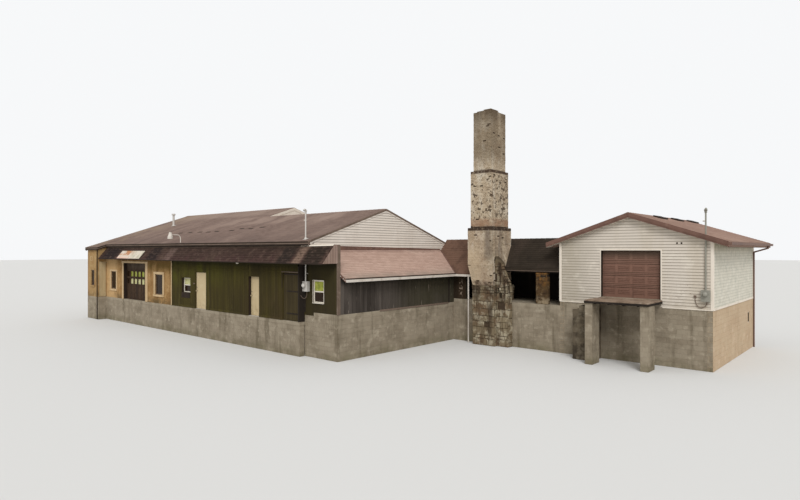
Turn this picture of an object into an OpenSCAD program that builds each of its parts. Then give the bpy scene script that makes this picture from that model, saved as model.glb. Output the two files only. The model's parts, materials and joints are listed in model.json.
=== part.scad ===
// Factory complex: main wing with mansard, lean-to, link shed, chimney and annex.
// Plan values run from the outer face of the left end wall (x), from the long
// front wall's outer face (y, growing to the back) and from the lowest ground (z).

/* [Levels] */
// Main floor above the lowest ground
main_floor = 1590; // [1200:10:2000]
// Lean-to and corner room floor above the lowest ground
lean_floor = 2050; // [1800:10:2300]
// Link shed floor above the lowest ground
link_floor = 2250; // [2150:10:2330]
// Annex floor above the lowest ground
annex_floor = 2790; // [2600:10:2900]
// Thickness of the concrete floor slabs
slab_t = 150; // [120:10:200]

/* [Main wing] */
// Length of the deeper, higher part
high_len = 13910; // [12500:10:14200]
// Depth of the lower part
low_depth = 10320; // [9900:20:10400]
// Depth of the higher part
high_depth = 14460; // [13600:20:15200]
// Thickness of the main walls
wall_t = 200; // [150:10:240]
// Thickness of the foundation walls
stem_t = 300; // [250:10:350]
// Roof surface above the lowest ground, at the front wall
eave_z = 5310; // [5270:10:5500]
// Slope of the main roof
main_slope = 0.333; // [0.28:0.001:0.36]
// Vertical thickness of the main roof
roof_t = 180; // [140:5:180]
// Gap where a sloping piece bears on another
seat_gap = 0.2; // [0.1:0.05:0.5]
// Overhang of the main roof at its back eaves
back_eave = 300; // [150:10:500]
// Overhang of the main roof at the left end
left_verge = 150; // [50:10:300]
// How far the roof's front edge stands ahead of the front wall's face
front_edge = 30; // [20:5:60]
// Distance of the roof's foot behind the front wall's face
foot_set = 260; // [240:5:320]
// Overhang of the higher roof at its right end
right_verge = 100; // [40:10:200]
// Width of the roof's foot on the mansard's flat top
foot_w = 60; // [40:10:100]

/* [Front bay] */
// Width of the bay at the left end
bay_w = 1890; // [1500:10:2200]
// How far the bay stands out
bay_out = 570; // [400:10:570]
// Overhang of the roof in front of the bay
bay_eave = 100; // [50:10:200]
// Overhang of the roof at the bay's right side
bay_verge = 50; // [20:10:100]

/* [Front wall] */
// Length of the tan part of the front wall, with the bay
tan_len = 11540; // [10500:10:12500]
// Length of the boarded part of the front wall
board_len = 12120; // [11000:10:13000]
// Length of the front wall that the corner room takes
corner_len = 640; // [500:10:700]
// Left side of the front overhead doorway
big_door_x = 4750; // [4200:10:5000]
// Width of the front overhead doorway
big_door_w = 3300; // [2800:10:3600]
// Height of the front overhead doorway
big_door_h = 2440; // [2200:10:2600]
// Left side of the first doorway from the tan wall
door1_in = 2800; // [2600:10:3300]
// Width of the first doorway
door1_w = 1130; // [900:10:1250]
// Height of the first doorway
door1_h = 2060; // [1950:10:2200]
// Left side of the second doorway from the boarded wall's right end
door2_in = 4070; // [3700:10:4500]
// Width of the second doorway
door2_w = 910; // [800:10:1000]
// Height of the second doorway
door2_h = 1980; // [1900:10:2100]
// Width of the plank doorway
plank_w = 1160; // [1000:10:1250]
// Height of the plank doorway
plank_h = 2240; // [2100:10:2300]
// Post between the plank doorway and the end of the boarded wall
end_post = 90; // [60:5:150]

/* [Mansard] */
// How far the mansard's lower edge stands out
skirt_out = 570; // [450:10:700]
// Underside of the mansard
skirt_z = 4300; // [4200:10:4400]
// Top of the mansard
skirt_top = 5130; // [5000:10:5130]
// Distance of the mansard's top edge behind the front wall's face
skirt_back = 120; // [80:10:140]
// Thickness of the mansard's boards
skirt_t = 60; // [40:5:80]

/* [Corner room and lean-to] */
// How far the corner room is set back
corner_in = 320; // [280:10:400]
// Thickness of the framed walls
frame_t = 140; // [120:5:180]
// Width of the lean-to
lean_w = 1610; // [1400:10:1900]
// Distance of the lean-to's back wall from the valley's upper end
lean_in = 50; // [20:5:100]
// Top of the lean-to roof at the end gable wall
lean_top = 4900; // [4700:10:5000]
// Slope of the lean-to roof
lean_slope = 0.638; // [0.5:0.001:0.7]
// Thickness of the lean-to and link roofs, vertical
lean_roof_t = 140; // [100:5:180]
// Overhang of the lean-to roof
lean_eave = 380; // [200:10:450]

/* [Link shed] */
// Width of the boarded panel between the lean-to and the chimney
panel_w = 820; // [600:10:900]
// Slope of the link roof
link_slope = 1; // [0.9:0.01:1.1]
// Ridge of the link roof behind the main wing's back corner
ridge_back = 100; // [50:10:200]
// Ridge height above the lowest ground
link_ridge_z = 5490; // [5400:10:5600]
// Front edge of the link roof's right part, ahead of its ridge
right_run = 1490; // [1400:10:1600]
// Depth of the link shed behind its ridge
link_back = 1560; // [1300:10:1900]
// Overhang of the link roof at the back
link_eave = 200; // [100:10:300]
// Width of the masonry pier
pier_w = 600; // [550:10:800]
// Depth of the masonry pier
pier_d = 250; // [220:10:350]
// Distance of the pier from the annex
pier_gap = 710; // [500:10:850]
// Height of the header beam
beam_h = 120; // [100:10:200]
// Distance of the header beam and the pier behind the shed's front
beam_in = 100; // [60:10:140]
// Thickness of the header beam
beam_t = 140; // [100:10:200]

/* [Chimney] */
// Chimney's left face from the end gable wall
stack_gap = 3030; // [2900:10:3200]
// Chimney's front face ahead of the main wing's lower back wall
stack_ahead = 2140; // [1950:10:2250]
// Width of the lower stage
stack_w1 = 1450; // [1400:10:1550]
// Depth of the lower stage
stack_d1 = 1910; // [1850:10:1960]
// Width of the middle stage
stack_w2 = 1270; // [1200:10:1350]
// Depth of the middle stage
stack_d2 = 1630; // [1560:10:1750]
// Width of the upper stage
stack_w3 = 1060; // [1000:10:1150]
// Depth of the upper stage
stack_d3 = 1410; // [1350:10:1500]
// Top of the rubble base
stack_z0 = 3080; // [2800:10:3300]
// Top of the lower stage
stack_z1 = 6050; // [5700:10:6400]
// Top of the middle stage
stack_z2 = 9000; // [8600:10:9400]
// Top of the chimney below the bricks that are left of its rim
stack_z3 = 12080; // [11500:10:12500]
// Height of a brick course on the rim
rim_step = 40; // [30:5:60]
// Width of the square flue
flue_w = 620; // [500:10:700]
// Height of the tapered foot of the lower stage
foot_h = 1050; // [800:10:1300]
// How far the foot draws in at its left and front
foot_in = 230; // [100:10:300]
// How far the rubble base stands out at the right and back
base_out = 100; // [80:10:250]
// How far the wing at the chimney's right stands out
wing_out = 770; // [650:10:850]
// Depth of the wing
wing_d = 380; // [300:10:450]
// Height of the wing's steep shoulder above the base
shoulder_h = 840; // [600:10:900]
// Height of the wing's plumb part above the shoulder
neck_h = 330; // [200:10:400]
// How far the stack's right side flares out at the link roof's eave
flare = 340; // [250:10:400]
// Depth of the holes that are broken into the wing
hole_d = 160; // [100:10:250]

/* [Annex] */
// Gap between the main wing's gable wall and the annex
annex_gap = 7850; // [7700:10:8200]
// Width of the annex
annex_w = 6550; // [6300:10:6900]
// Front of the annex ahead of the main wing's lower back wall
annex_ahead = 1440; // [1300:10:1550]
// Depth of the annex
annex_d = 8160; // [7600:10:8800]
// Bottom of the siding above the lowest ground
siding_z = 2480; // [2350:10:2550]
// Top of the side walls above the lowest ground
annex_top = 5230; // [5100:10:5400]
// Slope of the annex roof
annex_slope = 0.333; // [0.28:0.001:0.36]
// Vertical thickness of the annex roof
annex_roof_t = 210; // [160:5:240]
// Overhang of the annex eaves
annex_eave = 600; // [400:10:700]
// Overhang of the annex roof at the front
front_verge = 250; // [150:10:350]
// Overhang of the annex roof at the back
back_verge = 1000; // [500:10:1100]
// Thickness of the basement's block walls
block_t = 200; // [190:5:250]
// Left side of the annex doorway, from the annex's left face
annex_door_x = 1990; // [1700:10:2200]
// Width of the annex doorway
annex_door_w = 2570; // [2300:10:2800]
// Height of the annex doorway
annex_door_h = 2090; // [1900:10:2200]

/* [Loading dock] */
// Width of the dock slab
dock_w = 2630; // [2580:10:3000]
// Depth of the dock slab
dock_d = 1800; // [1500:10:2100]
// Thickness of the dock slab
dock_t = 110; // [80:5:150]
// Drop from the annex floor to the dock
dock_drop = 20; // [10:5:60]
// Width of a dock pier
dock_pier_w = 320; // [300:10:450]
// Depth of a dock pier
dock_pier_d = 750; // [500:10:800]
// Distance of the piers behind the slab's front edge
pier_back = 40; // [0:10:100]
// Distance of the right pier from the slab's right edge
pier_in = 0; // [0:10:100]
// Number of steps
step_n = 3; // [2:1:4]
// Going of each step
step_go = 300; // [250:10:350]
// Rise of each step
step_up = 180; // [150:5:200]
// Depth of the steps
step_d = 1000; // [800:10:1300]

/* [Door leaves] */
// Thickness of a man door
leaf_t = 45; // [40:1:60]
// Gap between a leaf and its doorway
leaf_gap = 15; // [12:1:20]
// Set-back of the first man door and the plank door
shallow_set = 50; // [40:5:80]
// Set-back of the second man door
deep_set = 145; // [100:5:150]
// Radius of a hinge pin
pin_r = 5; // [4:0.5:6]
// Radial clearance of a hinge pin
pin_gap = 0.3; // [0.2:0.1:0.5]
// Outer radius of a hinge barrel
barrel_r = 9; // [8:0.5:10]
// Height of a hinge barrel
barrel_h = 90; // [60:5:120]
// Height of the lowest hinge above the floor
hinge_low = 250; // [200:10:300]
// Distance of the highest hinge below the doorway's head
hinge_top = 340; // [280:10:400]
// Width of a hinge plate
plate_w = 45; // [35:5:60]
// Height of the bracket that carries a pin
bracket_h = 11.5; // [10:0.5:15]
// Gap between a bracket and its barrel
bracket_gap = 0.5; // [0.3:0.1:1]
// Height of the knobs above the floor
knob_z = 1000; // [900:10:1100]
// Distance of a knob from the leaf's edge
knob_in = 70; // [60:5:80]
// Radius of a knob
knob_r = 28; // [24:1:32]
// Thickness of a knob
knob_t = 25; // [20:1:30]
// Length of a knob's stem
stem_len = 50; // [40:5:60]
// Radius of a knob's stem
stem_r = 12; // [10:1:14]

/* [Overhead doors] */
// Thickness of an overhead door
door_t = 45; // [40:1:60]
// Rows of the front overhead door
big_rows = 5; // [4:1:6]
// Columns of the front overhead door
big_cols = 6; // [5:1:7]
// Rows of the annex overhead door
annex_rows = 4; // [3:1:5]
// Columns of the annex overhead door
annex_cols = 4; // [3:1:5]
// How far a door reaches past its opening
door_lap = 60; // [40:5:100]
// Width of the members round a panel
panel_rim = 70; // [50:5:90]
// Width of the joint between two sections
joint_w = 12; // [8:1:16]
// Depth of the joints and of the sunk panels
joint_d = 10; // [6:1:14]

/* [Windows] */
// Width of a window frame's members
sash_w = 55; // [40:5:80]
// Depth of a window frame
sash_d = 60; // [50:5:80]
// Thickness of the glass
glass_t = 6; // [4:1:10]
// Set-back of the shallow windows
win_set = 30; // [10:5:60]
// Bay window from the left end
bay_win_x = 650; // [400:10:900]
// Left window of the tan wall, from the left end
win1_x = 2690; // [2400:10:3000]
// Right window of the tan wall, from the wall's right end
win2_in = 2160; // [2000:10:2500]
// Window of the boarded wall, from the tan wall
win3_in = 1210; // [1000:10:1500]
// Corner room's window, ahead of the end gable wall
corner_win_in = 40; // [0:5:80]
// Side window's far edge on the left end wall, behind the front wall's face
end_win_y = 6600; // [5000:50:8000]
// Right edges of the back windows
back_win_xs = [4200, 10400, 19600];
// Annex back window's right edge, from the annex's middle
annex_win_x = 450; // [-1500:50:1800]
// Basement window's near edge, ahead of the annex's back face
slot_in = 1360; // [1100:10:3000]

/* [Fittings] */
// Radius of the service masts
mast_r = 32; // [25:1:40]
// Clearance round a mast where it passes a roof
mast_gap = 3; // [2:1:5]
// Corner mast from the corner room's left end
mast1_in = 180; // [120:10:250]
// Distance of the corner mast in front of its wall
mast1_out = 100; // [80:5:130]
// Annex mast from the annex's right face
mast2_in = 250; // [150:10:300]
// Distance of the annex mast in front of its wall
mast2_out = 70; // [50:5:90]
// Height of the clamp of the corner mast
clamp1_z = 3800; // [3600:10:4100]
// Heights of the clamps of the annex mast
clamp2_zs = [3950, 4850];
// Top of the corner mast
mast1_top = 6700; // [6300:10:7000]
// Top of the annex mast
mast2_top = 6500; // [6200:10:6800]
// Height of a mast's clamp
clamp_h = 40; // [30:5:60]
// Width of a clamp beyond the mast
clamp_w = 12; // [8:1:20]
// Height of a meter box
meter_h = 460; // [350:10:550]
// Width of a meter box
meter_w = 340; // [280:10:400]
// Depth of a meter box
meter_d = 160; // [120:10:200]
// Length of the glass cap on a meter
dial_t = 70; // [50:5:90]
// Radius of the glass cap on a meter
dial_r = 88; // [70:2:100]
// Bottom of the corner meter box
meter1_z = 3000; // [2800:10:3200]
// Bottom of the annex meter box above its floor
meter2_up = 30; // [0:10:100]
// Roof vent from the left end
vent_x = 3450; // [3200:10:3700]
// Roof vent behind the front wall's face
vent_y = 4180; // [4000:10:4400]
// Height of the roof vent's pipe
vent_h = 800; // [600:10:900]
// Radius of the roof vent's pipe
vent_r = 75; // [60:5:90]
// Radius of the roof vent's cap
cap_r = 130; // [100:5:150]
// Height of the roof vent's cap
cap_h = 110; // [80:5:140]
// Yard light from the end of the tan wall
light_in = 960; // [800:10:1200]
// Yard light's post behind the front wall's face
light_back = 50; // [30:5:80]
// Reach of the yard light in front of the wall
light_reach = 580; // [560:10:700]
// Height of the light's post above the roof
post_h = 240; // [200:10:300]
// Radius of the light's arm
arm_r = 24; // [20:1:30]
// Bend radius of the light's arm
arm_bend = 220; // [180:10:260]
// Radius of the lamp
lamp_r = 150; // [120:5:170]
// Height of the lamp
lamp_h = 120; // [90:5:140]
// Width of the gutters
gutter_w = 120; // [100:5:140]
// Height of the gutters
gutter_h = 110; // [90:5:130]
// Wall thickness of the gutters
gutter_t = 8; // [5:1:10]
// Radius of the downspouts
spout_r = 38; // [30:1:45]
// Distance of a gutter's rim below the roof surface
rim_drop = 30; // [20:5:50]
// Distance of a downspout from its gutter's or wall's end
spout_in = 90; // [80:5:120]
// Gap between the annex downspout and its wall
spout_gap = 12; // [8:1:20]
// Distance from the annex roof's edge down to the bend of its downspout
elbow_drop = 40; // [40:5:120]
// Height of the downspout's sloping part
elbow_fall = 200; // [150:10:300]
// Heights of the clamps of the annex downspout
spout_clamps = [900, 3200];

/* [Hidden] */
$fn = 48;

tan_end = tan_len;
board_end = tan_len + board_len;
main_len = board_end + corner_len;
door1_x = tan_end + door1_in;
door2_x = board_end - door2_in;
stack_x = main_len + stack_gap;
stack_y = low_depth - stack_ahead;
annex_y = low_depth - annex_ahead;
low_ridge = low_depth / 2;
high_ridge = high_depth / 2;
lean_x = main_len + lean_w;
lean_y = corner_in + frame_t;
lean_edge = lean_x + lean_eave;
ridge_y = low_depth + ridge_back;
link_left_eave = ridge_y - (link_ridge_z - lean_z(lean_edge)) / link_slope;
valley_y = ridge_y - (link_ridge_z - lean_top) / link_slope;
lean_len = valley_y - lean_in;
link_end_y = ridge_y + link_back;
annex_x = main_len + annex_gap;
annex_right = annex_x + annex_w;
annex_mid = annex_x + annex_w / 2;
annex_back = annex_y + annex_d;
annex_edge_z = annex_top - annex_eave * annex_slope;
dock_x = annex_x + annex_door_x;
dock_z = annex_floor - dock_drop;
dock_y = annex_y - dock_d;
plank_x = board_end - end_post - plank_w;
stack_mid_x = stack_x + stack_w1 / 2;
stack_mid_y = stack_y + stack_d1 / 2;
stack_back = stack_y + stack_d1;
foot_y = foot_set + foot_w;
// Where the lower roof's back slope meets the underside of the higher front slope
start_y = low_ridge + roof_t / (2 * main_slope);
// First point of the return gable wall, between the two
return_y = start_y + seat_gap / main_slope;
link_front = annex_y;
link_right_eave = ridge_y - right_run;
stack_right = stack_x + stack_w1;
base_left = stack_x + foot_in;
base_right = stack_right + base_out;
base_front = stack_y + foot_in / 2;
base_back = stack_back + base_out;
wing_right = stack_right + wing_out;
beam_y = link_front + beam_in;
light_x = tan_end + light_in;
mast1_x = board_end + mast1_in;
mast1_y = corner_in - mast1_out;
mast2_x = annex_right - mast2_in;
mast2_y = annex_y - mast2_out;
meter2_z = annex_floor + meter2_up;
big_row_h = big_door_h / big_rows;
// Rows of the front overhead door that are glazed
glazed_rows = [2, 3];
// Overcut of the holes
over = 1;

box_left = -left_verge;
box_right = annex_right + annex_eave + gutter_w;
box_front = -max(light_reach + lamp_r, bay_out + bay_eave);
box_back = annex_back + back_verge;

// Top of the main roof's front slope at a depth
function roof_z(y) = eave_z + y * main_slope;
// Top of a wall under the front slope at a depth, and at the back eaves
function wall_z(y) = roof_z(y) - roof_t - seat_gap;
back_wall_z = eave_z - roof_t - seat_gap;
// Top of the lean-to roof at a length
function lean_z(x) = lean_top - (x - main_len) * lean_slope;
// Top of the link roof at a depth
function link_z(y) = link_ridge_z - abs(y - ridge_y) * link_slope;
// Top of a wall under the lean-to and link roofs
function lean_wall_z(x) = lean_z(x) - lean_roof_t - seat_gap;
function link_wall_z(y) = link_z(y) - lean_roof_t - seat_gap;
// Underside of the annex roof at a length
function annex_z(x) = annex_top + (annex_w / 2 - abs(x - annex_mid)) * annex_slope;

// Window sizes: width, height, sill above the floor
tall_win = [860, 1230, 600];
bay_win = [600, 1110, 780];
rail_win = [1000, 850, 850];
wide_win = [1000, 1260, 540];
corner_win = [740, 1030, 450];
plain_win = [900, 1100, 900];
slot_win = [420, 550, 1320];
// Windows: corner x and y on the outer face, floor, size, turn, set-back, middle rail
windows = [
    [bay_win_x, -bay_out, main_floor, bay_win, 0, win_set, false],
    [win1_x, 0, main_floor, tall_win, 0, win_set, false],
    [tan_end - win2_in, 0, main_floor, wide_win, 0, win_set, false],
    [tan_end + win3_in, 0, main_floor, rail_win, 0, wall_t - sash_d, true],
    [main_len - corner_win_in, corner_in, lean_floor, corner_win, 0, win_set, true],
    [0, end_win_y, main_floor, plain_win, -90, win_set, true],
    [back_win_xs[0], high_depth, main_floor, plain_win, 180, win_set, true],
    [back_win_xs[1], high_depth, main_floor, plain_win, 180, win_set, true],
    [back_win_xs[2], low_depth, main_floor, plain_win, 180, win_set, true],
    [annex_right, annex_back - slot_in, 0, slot_win, 90, win_set, false],
    [annex_mid + annex_win_x, annex_back, annex_floor, plain_win, 180, win_set, true]
];

module block(x0, x1, y0, y1, z0, z1) {
    translate([x0, y0, z0]) cube([x1 - x0, y1 - y0, z1 - z0]);
}
// A (y, z) profile run along x
module along_x(x0, x1, points) {
    translate([x0, 0, 0]) rotate([90, 0, 90]) linear_extrude(x1 - x0) polygon(points);
}
// An (x, z) profile run along y
module along_y(y0, y1, points) {
    translate([0, y1, 0]) rotate([90, 0, 0]) linear_extrude(y1 - y0) polygon(points);
}
// A plan outline run up
module up_from(z0, z1, points) {
    translate([0, 0, z0]) linear_extrude(z1 - z0) polygon(points);
}

module at_window(w) {
    translate([w[0], w[1], w[2] + w[3][2]]) rotate(w[4]) children();
}
module window_holes() {
    for (w = windows) at_window(w)
        translate([0, -over, 0]) cube([w[3][0], wall_t + sash_d, w[3][1]]);
}
// The one or two panes of a window, from a depth, with a thickness
module panes(w, from_y, t) {
    count = w[6] ? 2 : 1;
    pane_h = (w[3][1] - (count + 1) * sash_w) / count;
    for (k = [0 : count - 1]) translate([sash_w, w[5] + from_y, sash_w + k * (pane_h + sash_w)])
        cube([w[3][0] - 2 * sash_w, t, pane_h]);
}
module window_frames() color([0.86, 0.84, 0.78]) for (w = windows) at_window(w) difference() {
    translate([0, w[5], 0]) cube([w[3][0], sash_d, w[3][1]]);
    panes(w, -over, sash_d + 2 * over);
}
module window_glass() color([0.3, 0.36, 0.36]) {
    for (w = windows) at_window(w) panes(w, (sash_d - glass_t) / 2, glass_t);
    // Sheet behind the glazed rows of the front overhead door
    block(big_door_x, big_door_x + big_door_w, wall_t + door_t, wall_t + door_t + glass_t,
        main_floor + glazed_rows[0] * big_row_h, main_floor + (glazed_rows[1] + 1) * big_row_h);
}

// Foundations and floors
module long_foundation() color([0.62, 0.59, 0.53]) {
    top = main_floor - slab_t;
    up_from(0, top, [[0, -bay_out], [bay_w, -bay_out], [bay_w, 0], [board_end, 0],
        [board_end, stem_t], [0, stem_t]]);
    block(0, high_len, high_depth - stem_t, high_depth, 0, top);
    block(high_len, main_len, low_depth - stem_t, low_depth, 0, top);
}
module cross_foundation() color([0.62, 0.59, 0.53]) {
    top = main_floor - slab_t;
    block(0, stem_t, stem_t, high_depth - stem_t, 0, top);
    block(high_len - stem_t, high_len, low_depth - stem_t, high_depth - stem_t, 0, top);
    block(main_len - stem_t, main_len, lean_y, low_depth - stem_t, 0, top);
}
module lean_to_foundation() color([0.62, 0.59, 0.53]) {
    up_from(0, lean_floor - slab_t, [[board_end, corner_in], [lean_x, corner_in],
        [lean_x, lean_len], [main_len, lean_len], [main_len, lean_len - stem_t],
        [lean_x - stem_t, lean_len - stem_t], [lean_x - stem_t, lean_y],
        [board_end, lean_y]]);
}
module floor_slabs() color([0.6, 0.58, 0.54]) {
    up_from(main_floor - slab_t, main_floor, [[0, -bay_out], [bay_w, -bay_out], [bay_w, 0],
        [board_end, 0], [board_end, lean_y], [main_len, lean_y],
        [main_len, low_depth], [high_len, low_depth], [high_len, high_depth], [0, high_depth]]);
    block(main_len, lean_x, corner_in, lean_len, lean_floor - slab_t, lean_floor);
    up_from(link_floor - slab_t, link_floor, [[lean_x, link_front], [base_left, link_front],
        [base_left, base_back], [base_right, base_back], [base_right, link_front],
        [annex_x, link_front], [annex_x, link_end_y], [main_len, link_end_y],
        [main_len, lean_len], [lean_x, lean_len]]);
    up_from(siding_z, annex_floor, [[dock_x, annex_y], [dock_x + annex_door_w, annex_y],
        [dock_x + annex_door_w, annex_y + frame_t], [annex_right - frame_t, annex_y + frame_t],
        [annex_right - frame_t, annex_back - frame_t], [annex_x + frame_t, annex_back - frame_t],
        [annex_x + frame_t, annex_y + frame_t], [dock_x, annex_y + frame_t]]);
}

// Front wall
wall_top = skirt_top - skirt_t;
skirt_run = skirt_out + skirt_back;
skirt_rise = skirt_top - skirt_z;
skirt_len = sqrt(skirt_run * skirt_run + skirt_rise * skirt_rise);
// Depth of the mansard deck's inner face at a height
function deck_y(z) = -skirt_out + skirt_t * skirt_len / skirt_rise
    + (z - skirt_z) * skirt_run / skirt_rise;
module front_wall_run(x0, x1, z0) {
    bevel_z = skirt_z - (deck_y(skirt_z) + seat_gap) * skirt_rise / skirt_run;
    along_x(x0, x1, [[0, z0], [wall_t, z0], [wall_t, wall_top],
        [deck_y(wall_top) + seat_gap, wall_top], [0, bevel_z]]);
}
module tan_wall() color([0.66, 0.53, 0.36]) difference() {
    union() {
        front_wall_run(bay_w, big_door_x, main_floor);
        front_wall_run(big_door_x + big_door_w, tan_end, main_floor);
    }
    window_holes();
}
module tan_lintel() color([0.66, 0.53, 0.36])
    front_wall_run(big_door_x, big_door_x + big_door_w, main_floor + big_door_h);
module board_wall() color([0.22, 0.19, 0.12]) difference() {
    union() {
        front_wall_run(tan_end, door1_x, main_floor);
        front_wall_run(door1_x + door1_w, door2_x, main_floor);
        front_wall_run(door2_x + door2_w, plank_x, main_floor);
        front_wall_run(board_end - end_post, board_end, main_floor);
    }
    window_holes();
}
module board_wall_heads() color([0.22, 0.19, 0.12]) {
    front_wall_run(door1_x, door1_x + door1_w, main_floor + door1_h);
    front_wall_run(door2_x, door2_x + door2_w, main_floor + door2_h);
    front_wall_run(plank_x, board_end - end_post, main_floor + plank_h);
}
// Everything below the main roof's front slope
module below_front_slope() {
    along_x(-left_verge, main_len, [[-bay_out - bay_eave, 0],
        [high_ridge, 0], [high_ridge, wall_z(high_ridge)],
        [-bay_out - bay_eave, wall_z(-bay_out - bay_eave)]]);
}
module bay_wall() color([0.74, 0.64, 0.46]) difference() {
    intersection() {
        up_from(main_floor, eave_z, [[wall_t, -bay_out], [bay_w, -bay_out], [bay_w, 0],
            [bay_w - wall_t, 0], [bay_w - wall_t, wall_t - bay_out], [wall_t, wall_t - bay_out]]);
        below_front_slope();
    }
    window_holes();
}
module corner_wall() color([0.2, 0.17, 0.11]) difference() {
    union() {
        up_from(lean_floor, wall_top, [[board_end, corner_in], [lean_x, corner_in],
            [lean_x, lean_y], [board_end - frame_t, lean_y], [board_end - frame_t, wall_t],
            [board_end, wall_t]]);
        block(board_end - frame_t, board_end, wall_t, lean_y, main_floor, lean_floor);
        block(board_end, main_len, corner_in, lean_y, lean_floor - slab_t, lean_floor);
    }
    window_holes();
}

// End and back walls
module left_end_wall() color([0.66, 0.53, 0.36]) difference() {
    along_x(0, wall_t, [[-bay_out, main_floor], [-bay_out, wall_z(-bay_out)],
        [high_ridge, wall_z(high_ridge)], [high_depth, back_wall_z],
        [high_depth, main_floor]]);
    window_holes();
}
module back_walls() color([0.66, 0.53, 0.36]) difference() {
    union() {
        along_x(wall_t, high_len - wall_t, [[high_depth - wall_t, main_floor],
            [high_depth - wall_t, back_wall_z + wall_t * main_slope],
            [high_depth, back_wall_z], [high_depth, main_floor]]);
        along_x(high_len - wall_t, main_len - wall_t, [[low_depth - wall_t, main_floor],
            [low_depth - wall_t, back_wall_z + wall_t * main_slope],
            [low_depth, back_wall_z], [low_depth, main_floor]]);
    }
    window_holes();
}
module return_gable_wall() color([0.8, 0.77, 0.72])
    along_x(high_len - wall_t, high_len, [[return_y, wall_z(return_y)],
        [high_ridge, wall_z(high_ridge)], [high_depth, back_wall_z],
        [high_depth, main_floor], [low_depth, main_floor], [low_depth, eave_z + seat_gap]]);
module end_gable_wall() color([0.8, 0.77, 0.72])
    along_x(main_len - wall_t, main_len, [[lean_y, main_floor], [lean_y, skirt_top],
        [foot_y, skirt_top], [foot_y, wall_z(foot_y)],
        [low_ridge, wall_z(low_ridge)], [low_depth, back_wall_z],
        [low_depth, main_floor]]);
module lean_to_wall() color([0.2, 0.18, 0.18]) {
    inner = lean_x - frame_t;
    along_y(lean_y, lean_len, [[inner, lean_floor], [inner, lean_wall_z(inner)],
        [lean_x, lean_wall_z(lean_x)], [lean_x, lean_floor]]);
    block(main_len, inner, lean_len - frame_t, lean_len, lean_floor, lean_wall_z(lean_x));
    // Panel between the lean-to and the chimney
    panel_back = link_front + frame_t;
    along_x(lean_x + seat_gap, lean_x + panel_w, [[link_front, link_floor],
        [link_front, link_wall_z(link_front)], [panel_back, link_wall_z(panel_back)],
        [panel_back, link_floor]]);
}

// Main roofs
module front_slope_slab() {
    along_x(-left_verge, main_len, [[-bay_out - bay_eave, roof_z(-bay_out - bay_eave) - roof_t],
        [-bay_out - bay_eave, roof_z(-bay_out - bay_eave)], [high_ridge, roof_z(high_ridge)],
        [high_ridge, roof_z(high_ridge) - roof_t]]);
}
module front_roof() color([0.5, 0.44, 0.4]) difference() {
    bay_edge = bay_w + bay_verge;
    union() {
        intersection() {
            front_slope_slab();
            up_from(main_floor, stack_z3, [[-left_verge, -bay_out - bay_eave],
                [bay_edge, -bay_out - bay_eave], [bay_edge, -front_edge], [main_len, -front_edge],
                [main_len, low_ridge], [high_len + right_verge, low_ridge],
                [high_len + right_verge, high_ridge], [-left_verge, high_ridge]]);
        }
        // Foot of the roof on the mansard's flat top
        along_x(bay_edge, main_len, [[foot_set, skirt_top], [foot_set, roof_z(foot_set)],
            [foot_y, roof_z(foot_y)], [foot_y, skirt_top]]);
    }
    translate([mast1_x, mast1_y, 0]) cylinder(r = mast_r + mast_gap, h = stack_z1);
}
module back_slope_slab(x0, x1, ridge, depth) {
    low = depth + back_eave;
    drop = back_eave * main_slope;
    along_x(x0, x1, [[ridge, roof_z(ridge) - roof_t], [ridge, roof_z(ridge)],
        [low, eave_z - drop], [low, eave_z - drop - roof_t]]);
}
module back_roofs() color([0.5, 0.44, 0.4]) {
    back_slope_slab(-left_verge, high_len + right_verge, high_ridge, high_depth);
    intersection() {
        back_slope_slab(high_len - wall_t, main_len, low_ridge, low_depth);
        up_from(main_floor, stack_z3, [[high_len - wall_t, start_y],
            [high_len + right_verge, start_y], [high_len + right_verge, low_ridge],
            [main_len, low_ridge], [main_len, low_depth + back_eave],
            [high_len, low_depth + back_eave], [high_len, low_depth],
            [high_len - wall_t, low_depth]]);
    }
}

// Mansard over the front wall: sloping face, flat top, soffits and end cheek
module mansard() color([0.29, 0.23, 0.2]) difference() {
    union() {
        end_x = lean_x - skirt_t - seat_gap;
        soffit_top = skirt_z + skirt_t;
        along_x(bay_w, end_x, [[-skirt_out, skirt_z], [skirt_back, skirt_top],
            [deck_y(skirt_top), skirt_top], [deck_y(skirt_z), skirt_z]]);
        along_x(bay_w, end_x, [[deck_y(wall_top) + seat_gap, wall_top],
            [deck_y(skirt_top) + seat_gap, skirt_top], [lean_y, skirt_top], [lean_y, wall_top]]);
        along_x(bay_w, board_end, [[deck_y(skirt_z) + seat_gap, skirt_z],
            [deck_y(soffit_top) + seat_gap, soffit_top], [0, soffit_top], [0, skirt_z]]);
        along_x(board_end + seat_gap, end_x, [[deck_y(skirt_z) + seat_gap, skirt_z],
            [deck_y(soffit_top) + seat_gap, soffit_top], [corner_in, soffit_top],
            [corner_in, skirt_z]]);
        along_x(end_x + seat_gap, lean_x, [[-skirt_out, skirt_z], [skirt_back, skirt_top],
            [lean_y, skirt_top], [lean_y, wall_top], [corner_in, wall_top], [corner_in, skirt_z]]);
    }
    translate([mast1_x, mast1_y, 0]) cylinder(r = mast_r + mast_gap, h = stack_z1);
}

// Lean-to
module lean_to_roof() color([0.72, 0.62, 0.56]) intersection() {
    along_y(lean_y, valley_y, [[main_len, lean_top], [lean_edge, lean_z(lean_edge)],
        [lean_edge, lean_z(lean_edge) - lean_roof_t], [main_len, lean_top - lean_roof_t]]);
    up_from(main_floor, stack_z1, [[main_len, lean_y], [lean_edge, lean_y],
        [lean_edge, link_left_eave], [main_len, valley_y]]);
}
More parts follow.
